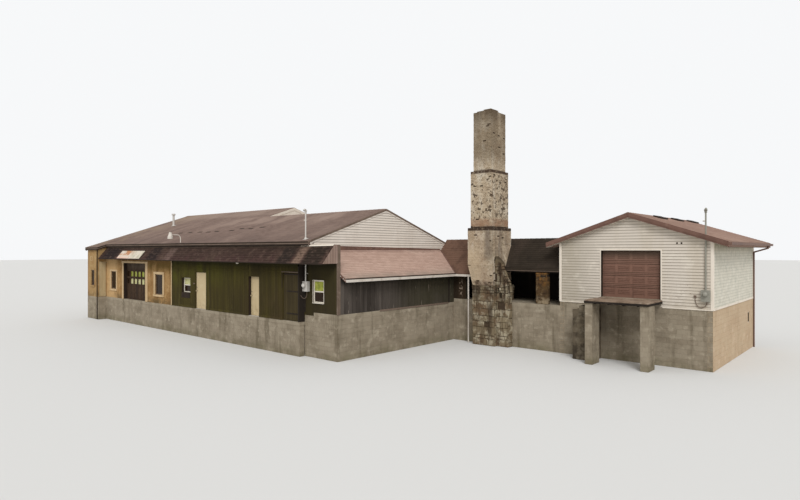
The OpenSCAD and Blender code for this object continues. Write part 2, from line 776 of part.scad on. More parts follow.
// Open gutter from y0 to y1, its back on the plane x = 0 and its rim at z = 0
module gutter(y0, y1) {
    difference() {
        block(0, gutter_w, y0, y1, -gutter_h, 0);
        block(gutter_t, gutter_w - gutter_t, y0 + gutter_t, y1 - gutter_t,
            gutter_t - gutter_h, over);
    }
}
// Round pipe between two points
module pipe(a, b, r) {
    d = b - a;
    len = norm(d);
    translate(a) rotate([0, acos(d[2] / len), atan2(d[1], d[0])]) cylinder(r = r, h = len);
}
module lean_to_gutter() color([0.85, 0.85, 0.83]) {
    rim = lean_z(lean_edge) - rim_drop;
    end_x = stack_x - gutter_t;
    spout = [end_x - 2 * spout_in, link_left_eave - gutter_w / 2];
    translate([lean_edge, 0, rim]) gutter(lean_y, link_left_eave);
    translate([lean_edge, link_left_eave, rim]) rotate([0, 0, -90])
        gutter(gutter_w + seat_gap, end_x - lean_edge);
    pipe([spout[0], spout[1], rim - gutter_h + gutter_t], [spout[0], spout[1], 0], spout_r);
}

// Doors. Each hangs on pins in its right jamb.
axis_in = leaf_gap - 1;
doorways = [
    [door1_x, door1_w, door1_h, shallow_set],
    [door2_x, door2_w, door2_h, deep_set],
    [plank_x, plank_w, plank_h, shallow_set]
];
function hinge_x(d) = d[0] + d[1] - axis_in;
function hinge_y(d) = d[3] - axis_in;
function hinge_zs(d) =
    [main_floor + hinge_low, main_floor + d[2] / 2, main_floor + d[2] - hinge_top];
module door_leaf(d, knob) {
    left = d[0] + leaf_gap;
    difference() {
        union() {
            block(left, hinge_x(d) - over, d[3], d[3] + leaf_t, main_floor + leaf_gap,
                main_floor + d[2] - leaf_gap);
            for (z = hinge_zs(d)) {
                translate([hinge_x(d), hinge_y(d), z]) cylinder(r = barrel_r, h = barrel_h);
                block(hinge_x(d) - plate_w, hinge_x(d), d[3] - axis_in / 2, d[3], z, z + barrel_h);
            }
            if (knob) translate([left + knob_in, d[3], main_floor + knob_z]) rotate([90, 0, 0]) {
                cylinder(r = stem_r, h = stem_len);
                translate([0, 0, stem_len]) cylinder(r = knob_r, h = knob_t);
            }
        }
        for (z = hinge_zs(d)) translate([hinge_x(d), hinge_y(d), z - over])
            cylinder(r = pin_r + pin_gap, h = barrel_h + 2 * over);
    }
}
module man_door_one() color([0.8, 0.75, 0.6]) door_leaf(doorways[0], true);
module man_door_two() color([0.8, 0.75, 0.6]) door_leaf(doorways[1], true);
module plank_door() color([0.21, 0.18, 0.12]) door_leaf(doorways[2], false);
module hinge_pins() color([0.4, 0.4, 0.4]) for (d = doorways, z = hinge_zs(d)) {
    translate([hinge_x(d), hinge_y(d), z - bracket_h - bracket_gap]) {
        cylinder(r = pin_r, h = barrel_h + bracket_h + bracket_gap);
        cylinder(r = barrel_r, h = bracket_h);
        translate([0, -barrel_r, 0]) cube([axis_in, 2 * barrel_r, bracket_h]);
    }
}

// Overhead door of sections, standing behind its doorway
module overhead_door(w, h, rows, cols, glazed) {
    row_h = h / rows;
    col_w = w / cols;
    difference() {
        translate([-door_lap, 0, 0]) cube([w + 2 * door_lap, door_t, h + door_lap]);
        for (r = [1 : rows - 1])
            translate([-door_lap - over, -over, r * row_h - joint_w / 2])
                cube([w + 2 * (door_lap + over), joint_d + over, joint_w]);
        for (r = [0 : rows - 1], c = [0 : cols - 1])
            translate([c * col_w + panel_rim, -over, r * row_h + panel_rim])
                cube([col_w - 2 * panel_rim,
                    (len(search(r, glazed)) > 0 ? door_t + over : joint_d) + over,
                    row_h - 2 * panel_rim]);
    }
}
module front_overhead_door() color([0.27, 0.2, 0.17])
    translate([big_door_x, wall_t, main_floor])
        overhead_door(big_door_w, big_door_h, big_rows, big_cols, glazed_rows);
module annex_overhead_door() color([0.43, 0.3, 0.26])
    translate([dock_x, annex_y + frame_t, annex_floor])
        overhead_door(annex_door_w, annex_door_h, annex_rows, annex_cols, []);

// Fittings. A pipe on a roof starts inside the roof's thickness and takes its slope.
module roof_vent() color([0.7, 0.75, 0.7]) translate([vent_x, vent_y, 0]) {
    deck_z = roof_z(vent_y) - roof_t;
    top = roof_z(vent_y) + vent_h;
    difference() {
        translate([0, 0, deck_z]) cylinder(r = vent_r, h = top - deck_z);
        translate([-vent_x, -vent_y, 0]) front_slope_slab();
        translate([0, 0, deck_z - over]) cylinder(r = cap_r, h = roof_t / 2);
    }
    translate([0, 0, top]) cylinder(r = cap_r, h = cap_h);
}
module yard_light() color([0.8, 0.79, 0.76]) translate([light_x, light_back, 0]) {
    post_z = roof_z(light_back) + post_h;
    arm = light_reach + light_back - arm_bend;
    arm_z = post_z + arm_bend;
    difference() {
        translate([0, 0, skirt_top]) cylinder(r = arm_r, h = post_z - skirt_top);
        translate([-light_x, -light_back, 0]) front_slope_slab();
        translate([0, 0, skirt_top - over])
            cylinder(r = arm_r + over, h = roof_z(light_back) - skirt_top - roof_t / 2);
    }
    translate([0, -arm_bend, post_z]) rotate([90, 0, 90]) rotate_extrude(angle = 90)
        translate([arm_bend, 0]) circle(r = arm_r);
    translate([0, -arm_bend, arm_z]) rotate([90, 0, 0]) cylinder(r = arm_r, h = arm);
    // Neck and lamp
    translate([0, -arm_bend - arm, arm_z]) {
        translate([0, 0, -2 * lamp_h]) cylinder(r = lamp_r / 2, h = 2 * lamp_h + lamp_r);
        translate([0, 0, -2 * lamp_h]) cylinder(r = lamp_r, h = lamp_h);
    }
}
module mast(x, y, z0, z1, wall_y, clamps) {
    translate([x, y, z0]) cylinder(r = mast_r, h = z1 - z0);
    translate([x, y, z1]) sphere(r = 2 * mast_r);
    for (z = clamps)
        block(x - mast_r - clamp_w, x + mast_r + clamp_w, y, wall_y, z, z + clamp_h);
}
module service_masts() color([0.7, 0.71, 0.7]) {
    mast(mast1_x, mast1_y, meter1_z + meter_h, mast1_top, corner_in, [clamp1_z]);
    mast(mast2_x, mast2_y, meter2_z + meter_h, mast2_top, annex_y, clamp2_zs);
}
module meter_box(x, wall_y, z) {
    block(x - meter_w / 2, x + meter_w / 2, wall_y - meter_d, wall_y, z, z + meter_h);
    translate([x, wall_y - meter_d, z + meter_h - 2 * dial_r]) rotate([90, 0, 0])
        cylinder(r = dial_r, h = dial_t);
}
module meter_boxes() color([0.72, 0.73, 0.72]) {
    meter_box(mast1_x, corner_in, meter1_z);
    meter_box(mast2_x, annex_y, meter2_z);
}

// Chimney. Its right side has a wing in front of the link roof and flares out behind the beam.
flare_top = link_z(stack_back);
flare_z = link_z(link_right_eave);
// Gap between the flare and the link roof, which is cut plumb through its thickness
flare_gap = lean_roof_t * flare / (flare_top - flare_z) + seat_gap;
// Holes broken into the wing: start along x, width, bottom below the base's top, height
wing_holes = [[120, 150, 360, 260], [250, 190, 620, 250], [560, 60, 880, 830]];
module chimney_base() color([0.55, 0.49, 0.4]) difference() {
    wing_y = link_front - wing_d;
    shoulder_z = stack_z0 + shoulder_h;
    union() {
        block(base_left, base_right, base_front, base_back, 0, stack_z0);
        block(stack_mid_x, wing_right, wing_y, link_front, 0, stack_z0);
        along_y(wing_y, link_front - seat_gap, [[stack_right, stack_z0], [wing_right, stack_z0],
            [stack_right + flare, shoulder_z], [stack_right + flare, shoulder_z + neck_h],
            [stack_right, shoulder_z + 2 * neck_h]]);
    }
    for (h = wing_holes) translate([stack_right + h[0], wing_y - over, stack_z0 - h[2]])
        cube([h[1], hole_d + over, h[3]]);
}
// Block of one chimney stage about the stack's middle
module stage(w, d, z0, z1) {
    translate([stack_mid_x - w / 2, stack_mid_y - d / 2, z0]) cube([w, d, z1 - z0]);
}
module chimney_stack() color([0.67, 0.61, 0.51]) difference() {
    rim_left = stack_mid_x - stack_w3 / 2;
    rim_right = stack_mid_x + stack_w3 / 2;
    rim_front = stack_mid_y - stack_d3 / 2;
    rim_w = (stack_w3 - flue_w) / 2;
    union() {
        intersection() {
            along_y(stack_y, stack_back, [[stack_x + foot_in, stack_z0],
                [stack_right, stack_z0], [stack_right, stack_z1],
                [stack_x, stack_z1], [stack_x, stack_z0 + foot_h]]);
            along_x(stack_x, stack_right, [[stack_y + foot_in / 2, stack_z0],
                [stack_back, stack_z0], [stack_back, stack_z1],
                [stack_y, stack_z1], [stack_y, stack_z0 + foot_h]]);
        }
        // Flare against the link roof
        along_y(beam_y + beam_t, stack_back, [[stack_mid_x, beam_z], [stack_right, beam_z],
            [stack_right + flare, flare_z], [stack_right, flare_top], [stack_mid_x, flare_top]]);
        stage(stack_w2, stack_d2, stack_z1, stack_z2);
        stage(stack_w3, stack_d3, stack_z2, stack_z3);
        // Bricks left of the rim
        block(rim_left + rim_w, rim_right, rim_front, rim_front + rim_w, stack_z3 - over,
            stack_z3 + rim_step);
        block(rim_right - 2 * rim_w, rim_right, rim_front, rim_front + rim_w, stack_z3 - over,
            stack_z3 + 2 * rim_step);
        block(rim_right - rim_w, rim_right, rim_front, stack_mid_y, stack_z3 - over,
            stack_z3 + 2 * rim_step);
    }
    stage(flue_w, flue_w, stack_z0 + foot_h / 2, stack_z3 + 2 * rim_step + over);
}

// Link shed
module link_foundation() color([0.6, 0.56, 0.5]) {
    top = link_floor - slab_t;
    block(lean_x, base_left, link_front, link_front + stem_t, 0, top);
    block(base_right, annex_x, link_front, link_front + stem_t, 0, top);
    block(main_len, annex_x, link_end_y - stem_t, link_end_y, 0, top);
    block(main_len, main_len + stem_t, low_depth, link_end_y - stem_t, 0, top);
}
module link_slab(y0, y1) {
    along_x(main_len, annex_x, [[y0, link_z(y0) - lean_roof_t], [y0, link_z(y0)],
        [y1, link_z(y1)], [y1, link_z(y1) - lean_roof_t]]);
}
// Room that the annex's eave takes over the link roof
module annex_eave_room() {
    block(annex_x - annex_eave, annex_x + over, link_left_eave, link_end_y + annex_eave,
        annex_edge_z, stack_z2);
}
module link_front_roof() color([0.36, 0.29, 0.26]) difference() {
    intersection() {
        link_slab(link_left_eave, ridge_y);
        up_from(main_floor, stack_z2, [[main_len, valley_y], [lean_edge, link_left_eave],
            [stack_x, link_left_eave], [stack_x, stack_back],
            [stack_right + flare_gap, stack_back],
            [stack_right + flare + flare_gap, link_right_eave],
            [annex_x, link_right_eave], [annex_x, ridge_y], [main_len, ridge_y]]);
    }
    annex_eave_room();
}
module link_back_roof() color([0.36, 0.29, 0.26]) difference() {
    link_slab(ridge_y, link_end_y + link_eave);
    annex_eave_room();
}
module link_back_wall() color([0.24, 0.21, 0.19]) {
    inner = link_end_y - frame_t;
    along_x(main_len, annex_x, [[inner, link_floor], [inner, link_wall_z(inner)],
        [link_end_y, link_wall_z(link_end_y)], [link_end_y, link_floor]]);
    along_x(main_len, main_len + frame_t, [[low_depth, link_floor],
        [low_depth, link_wall_z(low_depth)], [ridge_y, link_wall_z(ridge_y)],
        [inner, link_wall_z(inner)], [inner, link_floor]]);
}
beam_z = link_wall_z(beam_y) - beam_h;
module link_pier() color([0.5, 0.36, 0.24])
    block(annex_x - pier_gap - pier_w, annex_x - pier_gap, beam_y, beam_y + pier_d,
        link_floor, beam_z);
module link_beam() color([0.2, 0.17, 0.15])
    along_x(stack_right, annex_x, [[beam_y, beam_z], [beam_y, beam_z + beam_h],
        [beam_y + beam_t, beam_z + beam_h + beam_t * link_slope], [beam_y + beam_t, beam_z]]);

// Annex
module annex_basement_sides() color([0.79, 0.7, 0.6]) difference() {
    for (x = [annex_x, annex_right - block_t])
        block(x, x + block_t, annex_y, annex_back, 0, siding_z);
    window_holes();
}
module annex_basement_ends() color([0.79, 0.7, 0.6])
    for (y = [annex_y, annex_back - block_t])
        block(annex_x + block_t, annex_right - block_t, y, y + block_t, 0, siding_z);
module annex_side_walls() color([0.84, 0.8, 0.73]) {
    for (x = [annex_x, annex_right - frame_t])
        along_y(annex_y, annex_back, [[x, siding_z], [x, annex_z(x) - seat_gap],
            [x + frame_t, annex_z(x + frame_t) - seat_gap], [x + frame_t, siding_z]]);
}
// End wall between two lengths, up to the roof, from a height
module annex_end(y, x0, x1, z0) {
    peak = x0 < annex_mid && x1 > annex_mid ? [annex_mid] : [];
    along_y(y, y + frame_t, concat([[x0, z0]],
        [for (x = concat([x0], peak, [x1])) [x, annex_z(x) - seat_gap]], [[x1, z0]]));
}
module annex_end_walls() color([0.84, 0.8, 0.73]) difference() {
    union() {
        annex_end(annex_y, annex_x + frame_t, dock_x, siding_z);
        annex_end(annex_y, dock_x + annex_door_w, annex_right - frame_t, siding_z);
        annex_end(annex_back - frame_t, annex_x + frame_t, annex_right - frame_t, siding_z);
    }
    window_holes();
}
module annex_front_gable() color([0.84, 0.8, 0.73])
    annex_end(annex_y, dock_x, dock_x + annex_door_w, annex_floor + annex_door_h);
module annex_half(x0, x1) {
    along_y(annex_y - front_verge, annex_back + back_verge, [[x0, annex_z(x0)],
        [x0, annex_z(x0) + annex_roof_t], [x1, annex_z(x1) + annex_roof_t], [x1, annex_z(x1)]]);
}
module annex_left_roof() color([0.47, 0.37, 0.33]) annex_half(annex_x - annex_eave, annex_mid);
module annex_right_roof() color([0.47, 0.37, 0.33]) difference() {
    annex_half(annex_mid, annex_right + annex_eave);
    translate([mast2_x, mast2_y, 0]) cylinder(r = mast_r + mast_gap, h = stack_z3);
}
module annex_gutters() color([0.4, 0.3, 0.26]) {
    rim = annex_edge_z + annex_roof_t - rim_drop;
    back = annex_back + back_verge;
    edge = annex_right + annex_eave;
    spout_x = annex_right + spout_r + spout_gap;
    spout_y = annex_back - spout_in;
    top = [edge + gutter_w / 2, spout_y, rim - gutter_h + gutter_t];
    bend = [top[0], spout_y, annex_edge_z - elbow_drop];
    foot = [spout_x, spout_y, bend[2] - elbow_fall];
    translate([edge, 0, rim]) gutter(annex_y - front_verge, back);
    translate([annex_x - annex_eave - gutter_w, 0, rim]) gutter(link_end_y + link_eave * 2, back);
    pipe(top, bend, spout_r);
    pipe(bend, foot, spout_r);
    pipe(foot, [spout_x, spout_y, 0], spout_r);
    for (p = [bend, foot]) translate(p) sphere(r = spout_r + over);
    for (z = spout_clamps)
        block(annex_right, spout_x, spout_y - spout_r / 2, spout_y + spout_r / 2, z, z + clamp_h);
}

// Loading dock
module dock_slab() color([0.56, 0.52, 0.47])
    block(dock_x, dock_x + dock_w, dock_y, annex_y, dock_z - dock_t, dock_z);
module dock_piers() color([0.6, 0.55, 0.47])
    for (x = [dock_x, dock_x + dock_w - dock_pier_w - pier_in])
        block(x, x + dock_pier_w, dock_y + pier_back, dock_y + pier_back + dock_pier_d, 0,
            dock_z - dock_t);
module dock_steps() color([0.5, 0.47, 0.42])
    for (k = [1 : step_n])
        block(dock_x - k * step_go, dock_x - (k - 1) * step_go, annex_y - step_d, annex_y, 0,
            dock_z - k * step_up);

translate([-(box_left + box_right) / 2, -(box_front + box_back) / 2, 0]) {
    long_foundation();
    cross_foundation();
    lean_to_foundation();
    floor_slabs();
    bay_wall();
    tan_wall();
    tan_lintel();
    board_wall();
    board_wall_heads();
    corner_wall();
    left_end_wall();
    back_walls();
    return_gable_wall();
    end_gable_wall();
    lean_to_wall();
    front_roof();
    back_roofs();
    mansard();
    lean_to_roof();
    lean_to_gutter();
    front_overhead_door();
    man_door_one();
    man_door_two();
    plank_door();
    hinge_pins();
    window_frames();
    window_glass();
    roof_vent();
    yard_light();
    service_masts();
    meter_boxes();
    chimney_base();
    chimney_stack();
    link_foundation();
    link_front_roof();
    link_back_roof();
    link_back_wall();
    link_pier();
    link_beam();
    annex_basement_sides();
    annex_basement_ends();
    annex_side_walls();
    annex_end_walls();
    annex_front_gable();
    annex_left_roof();
    annex_right_roof();
    annex_gutters();
    annex_overhead_door();
    dock_slab();
    dock_piers();
    dock_steps();
}
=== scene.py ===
import json
import math
import random

import bmesh
import bpy
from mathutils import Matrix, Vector, noise

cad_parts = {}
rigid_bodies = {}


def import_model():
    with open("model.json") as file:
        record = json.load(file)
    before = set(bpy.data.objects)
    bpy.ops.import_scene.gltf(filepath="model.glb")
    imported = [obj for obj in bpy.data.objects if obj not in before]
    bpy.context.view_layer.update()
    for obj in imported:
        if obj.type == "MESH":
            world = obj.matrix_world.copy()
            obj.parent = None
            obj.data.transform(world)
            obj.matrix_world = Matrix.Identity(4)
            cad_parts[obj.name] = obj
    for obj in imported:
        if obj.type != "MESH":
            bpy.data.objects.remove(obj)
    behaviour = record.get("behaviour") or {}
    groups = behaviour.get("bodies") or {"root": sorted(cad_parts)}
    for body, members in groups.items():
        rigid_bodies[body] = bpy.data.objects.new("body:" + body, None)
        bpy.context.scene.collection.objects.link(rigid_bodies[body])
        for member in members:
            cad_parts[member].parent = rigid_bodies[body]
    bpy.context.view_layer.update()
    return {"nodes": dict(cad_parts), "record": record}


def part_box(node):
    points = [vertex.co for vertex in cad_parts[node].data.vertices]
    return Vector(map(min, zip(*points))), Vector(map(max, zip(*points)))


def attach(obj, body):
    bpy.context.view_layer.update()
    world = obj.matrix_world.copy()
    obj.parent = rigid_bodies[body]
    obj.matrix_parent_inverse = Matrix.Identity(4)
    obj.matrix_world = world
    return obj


for leftover in list(bpy.data.objects):
    bpy.data.objects.remove(leftover)
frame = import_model()
NODES = frame["nodes"]

# Plan metres run from the left end wall's face and the long front wall's face
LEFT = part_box("left_end_wall")[0].x
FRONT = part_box("tan_wall")[0].y
PLAN = {"x": LEFT, "y": FRONT, "z": 0.0}


def at(x, y, z):
    """A point in plan metres, in the row frame."""
    return Vector((LEFT + x, FRONT + y, z))


def low_of(node):
    """A CAD node's lowest corner in plan metres."""
    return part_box(node)[0] - at(0, 0, 0)


def high_of(node):
    """A CAD node's highest corner in plan metres."""
    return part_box(node)[1] - at(0, 0, 0)


# Levels and lines in plan metres, read from the frame where it has them
ANNEX_X, ANNEX_Y, SIDING_Z = low_of("annex_side_walls")
ANNEX_RIGHT, ANNEX_BACK, _ = high_of("annex_side_walls")
ANNEX_MID = (ANNEX_X + ANNEX_RIGHT) / 2
ANNEX_FRONT = low_of("annex_right_roof").y
ANNEX_EDGE, ANNEX_TAIL, ANNEX_RIDGE_Z = high_of("annex_right_roof")
BAY_EDGE, _, MAIN_FLOOR = low_of("tan_wall")
BAY_Y = low_of("bay_wall").y
TAN_END = low_of("board_wall").x
BOARD_END = high_of("board_wall").x
_, SKIRT_Y, SKIRT_Z = low_of("mansard")
LEAN_X, LEAN_Y, SKIRT_TOP = high_of("mansard")
LEAN_FLOOR = low_of("lean_to_wall").z
LEAN_EDGE, _, LEAN_TOP = high_of("lean_to_roof")
GABLE_X = high_of("end_gable_wall").x
RETURN_X = high_of("return_gable_wall").x
LINK_EAVE_Y = low_of("link_beam").y - 0.05
_, LINK_RIDGE_Y, LINK_RIDGE_Z = high_of("link_front_roof")
ROOF_LEFT, BAY_EAVE_Y, _ = low_of("front_roof")
HIGH_RIDGE_Y = high_of("front_roof").y
LOW_RIDGE_Y = 5.16
FLUE = at(28.055, 9.135, 0)
FRONT_SLOPE = 0.333
LEAN_SLOPE = 0.638
EAVE_Z = 5.31
UP = Vector((0, 0, 1))
RIGHT = (1, 0, 0)
LEFTWARD = (-1, 0, 0)
FORWARD = (0, -1, 0)
BACKWARD = (0, 1, 0)


def main_z(y):
    """Top of the main roof's front slope at a depth."""
    return EAVE_Z + y * FRONT_SLOPE


def lean_z(x):
    """Top of the lean-to roof at a length."""
    return LEAN_TOP - (x - GABLE_X) * LEAN_SLOPE


def annex_z(x):
    """Top of the annex roof at a length."""
    return ANNEX_RIDGE_Z - abs(x - ANNEX_MID) * FRONT_SLOPE


# Finishes
EVEN = (1, 1, 1)
DOWN = (1, 1, 0.12)
ALL_OVER = (-1.0, 0.0)
ROUGH = [(60, 0.004, EVEN), (9, 0.01, EVEN)]
FINE = [(140, 0.0015, EVEN)]
WOOD = [(90, 0.003, DOWN), (12, 0.004, DOWN)]
LAP = 0.127
GABLE_SIDING_Z = 4.9
MATERIALS = {}


def colour(code):
    """A colour's code, as it shows on a screen, as the shader's linear values."""
    parts = [int(code[i:i + 2], 16) / 255 for i in (0, 2, 4)]
    return (*(c / 12.92 if c <= 0.04045 else ((c + 0.055) / 1.055) ** 2.4 for c in parts), 1.0)


class Finish:
    """A procedural material that is painted in the object's own metres."""

    def __init__(self, name, rough=0.85, metal=0.0):
        self.material = bpy.data.materials.new(name)
        self.material.use_nodes = True
        self.tree = self.material.node_tree
        self.tree.nodes.clear()
        self.shader = self.add("ShaderNodeBsdfPrincipled")
        self.shader.inputs["Roughness"].default_value = rough
        self.shader.inputs["Metallic"].default_value = metal
        self.shader.inputs["Specular IOR Level"].default_value = 0.5 * (1 - rough) + 0.08
        output = self.add("ShaderNodeOutputMaterial")
        self.tree.links.new(self.shader.outputs[0], output.inputs[0])
        self.place = self.add("ShaderNodeTexCoord").outputs["Object"]
        split = self.add("ShaderNodeSeparateXYZ")
        self.tree.links.new(self.place, split.inputs[0])
        self.axis = dict(zip("xyz", split.outputs))

    def add(self, kind, **settings):
        node = self.tree.nodes.new(kind)
        for key, value in settings.items():
            setattr(node, key, value)
        return node

    def put(self, value, socket):
        if isinstance(value, bpy.types.NodeSocket):
            self.tree.links.new(value, socket)
        else:
            socket.default_value = value

    def math(self, operation, a, b=0.0, clamp=True):
        node = self.add("ShaderNodeMath", operation=operation, use_clamp=clamp)
        self.put(a, node.inputs[0])
        self.put(b, node.inputs[1])
        return node.outputs[0]

    def noise(self, scale, stretch, detail=4.0):
        mapping = self.add("ShaderNodeMapping")
        self.put(self.place, mapping.inputs["Vector"])
        mapping.inputs["Scale"].default_value = stretch
        node = self.add("ShaderNodeTexNoise")
        self.put(mapping.outputs[0], node.inputs["Vector"])
        for key, number in (("Scale", scale), ("Detail", detail), ("Roughness", 0.6)):
            node.inputs[key].default_value = number
        return node.outputs["Fac"]

    def span(self, value, low, high, to_low=0.0, to_high=1.0):
        """value from low to high, as to_low to to_high, held at its ends."""
        node = self.add("ShaderNodeMapRange", interpolation_type="SMOOTHSTEP")
        self.put(value, node.inputs["Value"])
        for key, number in zip(("From Min", "From Max", "To Min", "To Max"),
                               (low, high, to_low, to_high)):
            node.inputs[key].default_value = number
        return node.outputs[0]

    def mix(self, amount, a, b):
        node = self.add("ShaderNodeMix", data_type="RGBA")
        self.put(amount, node.inputs[0])
        self.put(a, node.inputs[6])
        self.put(b, node.inputs[7])
        return node.outputs[2]

    def patch(self, shade, code, amount, scale, low, high, stretch=EVEN, where=()):
        """The shade under a layer of colour, which is weathering on most finishes and painted light
        or shade on some: a colour, how strong, and its noise.

        where lists (axis, start, end) in plan metres: the layer grows from none at start to
        full at end.
        """
        mask = self.span(self.noise(scale, stretch), low, high, 0.0, amount)
        for axis, start, end in where:
            grown = self.span(self.axis[axis], PLAN[axis] + start, PLAN[axis] + end)
            mask = self.math("MULTIPLY", mask, grown)
        return self.mix(mask, shade, colour(code))

    def laps(self, shade, start, code, amount):
        """The shade with a painted shadow just under each lap of the siding that starts at a height.
        """
        above = self.math("SUBTRACT", self.axis["z"], start, clamp=False)
        course = self.math("DIVIDE", above, LAP, clamp=False)
        under = self.span(self.math("FRACT", course), 0.62, 0.86, 0.0, amount)
        return self.mix(under, shade, colour(code))

    def grain(self, layers):
        """Unevenness in layers of (scale, depth, stretch)."""
        normal = None
        for scale, depth, stretch in layers:
            node = self.add("ShaderNodeBump")
            node.inputs["Distance"].default_value = depth
            self.put(self.noise(scale, stretch, 6.0), node.inputs["Height"])
            if normal is not None:
                self.put(normal, node.inputs["Normal"])
            normal = node.outputs[0]
        self.put(normal, self.shader.inputs["Normal"])


def aged(name, base, patches, grain, rough=0.85, tint=None, tint_amount=0.6, metal=0.0, laps=None):
    """Adds a weathered finish: a base colour, a tint from piece to piece, patches of weathering and
    of painted light and shade, painted shadows under the laps where given, and a grain.
    """
    made = Finish(name, rough, metal)
    shade = colour(base)
    if tint:
        each = made.add("ShaderNodeAttribute", attribute_name="tint").outputs["Fac"]
        shade = made.mix(made.math("MULTIPLY", each, tint_amount), shade, colour(tint))
    for patch in patches:
        shade = made.patch(shade, *patch)
    if laps:
        shade = made.laps(shade, *laps)
    made.put(shade, made.shader.inputs["Base Color"])
    made.grain(grain)
    MATERIALS[name] = made.material


def between(axis, low, high, soft):
    """Where a band lies along an axis, with soft edges."""
    return [(axis, low - soft, low + soft), (axis, high + soft, high - soft)]


def roofing(name, base, tint, light, dark, streak, more=()):
    """Adds asphalt shingles: granules, blotches and streaks that run down the slope."""
    aged(name, base, [
        (light, streak, 0.5, 0.45, 0.75, (1, 0.35, 1)),
        (dark, streak, 0.9, 0.5, 0.8, (1.2, 0.3, 1)),
        (dark, 0.5, 6, 0.5, 0.8),
        (light, 0.5, 40, 0.55, 0.8),
        *more,
    ], [(220, 0.003, EVEN)], 0.95, tint)


roofing("main_shingles", "88746a", "726058", "a08c80", "665650", 0.6, [
    ("685852", 0.6, 0.8, 0.3, 0.7, EVEN, [("y", 2.4, 0.0)]),
    ("a69286", 0.6, 0.6, 0.4, 0.6, (1, 0.5, 1),
     between("y", 3.4, 5.2, 0.4) + between("x", 11.0, 22.5, 1.5)),
    ("a49185", 0.6, 0.5, 0.2, 0.6, EVEN, [("y", 5.2, 6.2)]),
    ("988670", 0.6, 0.9, 0.4, 0.65, EVEN, [("x", 6.0, 1.0)]),
])
roofing("mansard_shingles", "46362f", "342823", "5c4a40", "281f1b", 0.6, [
    ("4a3432", 0.6, 1.6, 0.35, 0.6, EVEN, [("z", 4.9, 4.4)]),
    ("221c1c", 0.85, 1.0, *ALL_OVER, EVEN, between("x", 2.4, 4.6, 0.3)),
    ("221c1c", 0.85, 1.0, *ALL_OVER, EVEN, between("x", 9.2, 10.6, 0.25)),
    ("725e56", 0.75, 1.4, 0.2, 0.6, EVEN, between("x", 11.5, 12.3, 0.2)),
    # A painted shadow across the face from 22.6 to 23.6, then a painted stripe of sunlight from 23.8
    # to 24.35.
    ("28221e", 0.85, 1.0, *ALL_OVER, EVEN, between("x", 22.6, 23.6, 0.15)),
    ("7e685a", 0.85, 1.2, 0.1, 0.4, EVEN, between("x", 23.8, 24.35, 0.12)),
    ("28221c", 0.8, 1.2, 0.1, 0.5, EVEN, between("x", 24.5, 25.7, 0.15)),
    ("625046", 0.5, 5.0, 0.5, 0.66, (0.6, 1, 1)),
    ("2c221e", 0.5, 7.0, 0.5, 0.66, (0.6, 1, 1)),
])
roofing("pale_shingles", "b89c8e", "a4887a", "ccb6a6", "9a8074", 0.5, [
    ("846a60", 0.6, 1.2, 0.2, 0.6, EVEN, [("z", 4.72, 4.88)]),
    ("948478", 0.8, 1.6, 0.2, 0.6, EVEN, [("z", 3.95, 3.65)]),
])
roofing("link_shingles", "342d25", "2a241e", "4a3e36", "221d1a", 0.6, [
    ("705648", 0.9, 1.0, 0.1, 0.35, EVEN, [("x", 28.4, 27.6)]),
    ("523e34", 0.6, 1.8, 0.45, 0.65, DOWN, [("x", 28.4, 27.6)]),
])
roofing("annex_shingles", "a68a7c", "8e7467", "bca293", "765e54", 0.45)
aged("tan_stucco", "a07e52", [
    ("846238", 0.7, 1.3, 0.42, 0.66),
    ("c0a072", 0.55, 2.2, 0.5, 0.68),
    ("6c4e28", 0.8, 3.4, 0.5, 0.7, DOWN),
    ("624e1e", 0.85, 1.6, 0.2, 0.55, EVEN, [("z", 3.3, 4.0), *between("x", 8.4, 11.6, 0.3)]),
    # Darker towards the top of the wall, under the mansard: painted shade.
    ("7c5e36", 0.7, 1.6, 0.2, 0.6, EVEN, [("z", 3.8, 4.3)]),
    ("54462c", 0.85, 2.0, 0.25, 0.6, EVEN, [("z", 2.1, 1.6)]),
    ("4e3a24", 0.7, 14.0, 0.56, 0.66),
    # Lighter towards the bay, where the bay and the mansard shade the wall: painted light.
    ("c4a274", 0.85, 1.2, 0.1, 0.5, EVEN, [("x", 4.0, 3.2)]),
], ROUGH)
aged("side_stucco", "9e7e56", [
    ("866842", 0.5, 0.7, 0.42, 0.7),
    ("b2946a", 0.5, 1.7, 0.5, 0.7),
    ("6a5032", 0.5, 2.4, 0.54, 0.74, DOWN),
    ("564830", 0.8, 2.0, 0.25, 0.6, EVEN, [("z", 2.2, 1.6)]),
], ROUGH)
aged("bay_stucco", "a28459", [
    ("927046", 0.7, 1.4, 0.45, 0.7),
    ("bea478", 0.6, 2.6, 0.5, 0.72),
    ("6c5032", 0.7, 3.2, 0.52, 0.75, DOWN),
    ("56462e", 0.8, 2.0, 0.3, 0.7, EVEN, [("z", 2.2, 1.6)]),
], ROUGH)
aged("dark_boards", "463e1c", [
    ("505016", 0.85, 0.5, 0.3, 0.6, EVEN, [("x", 21.0, 12.0), ("z", 2.4, 3.8)]),
    ("2e2716", 0.7, 1.2, 0.42, 0.66, DOWN),
    ("423622", 0.6, 0.8, 0.3, 0.6, EVEN, [("x", 17.0, 22.0), ("z", 3.4, 2.2)]),
    ("6a6036", 0.5, 3.0, 0.54, 0.78, DOWN),
    # Darker towards the top, under the mansard: painted shade.
    ("1a1a08", 0.7, 1.2, 0.05, 0.4, EVEN, [("z", 3.9, 4.25)]),
    ("28231a", 0.6, 1.0, *ALL_OVER, EVEN, [("x", 23.6, 23.8)]),
], WOOD, 0.9, tint="342d14")
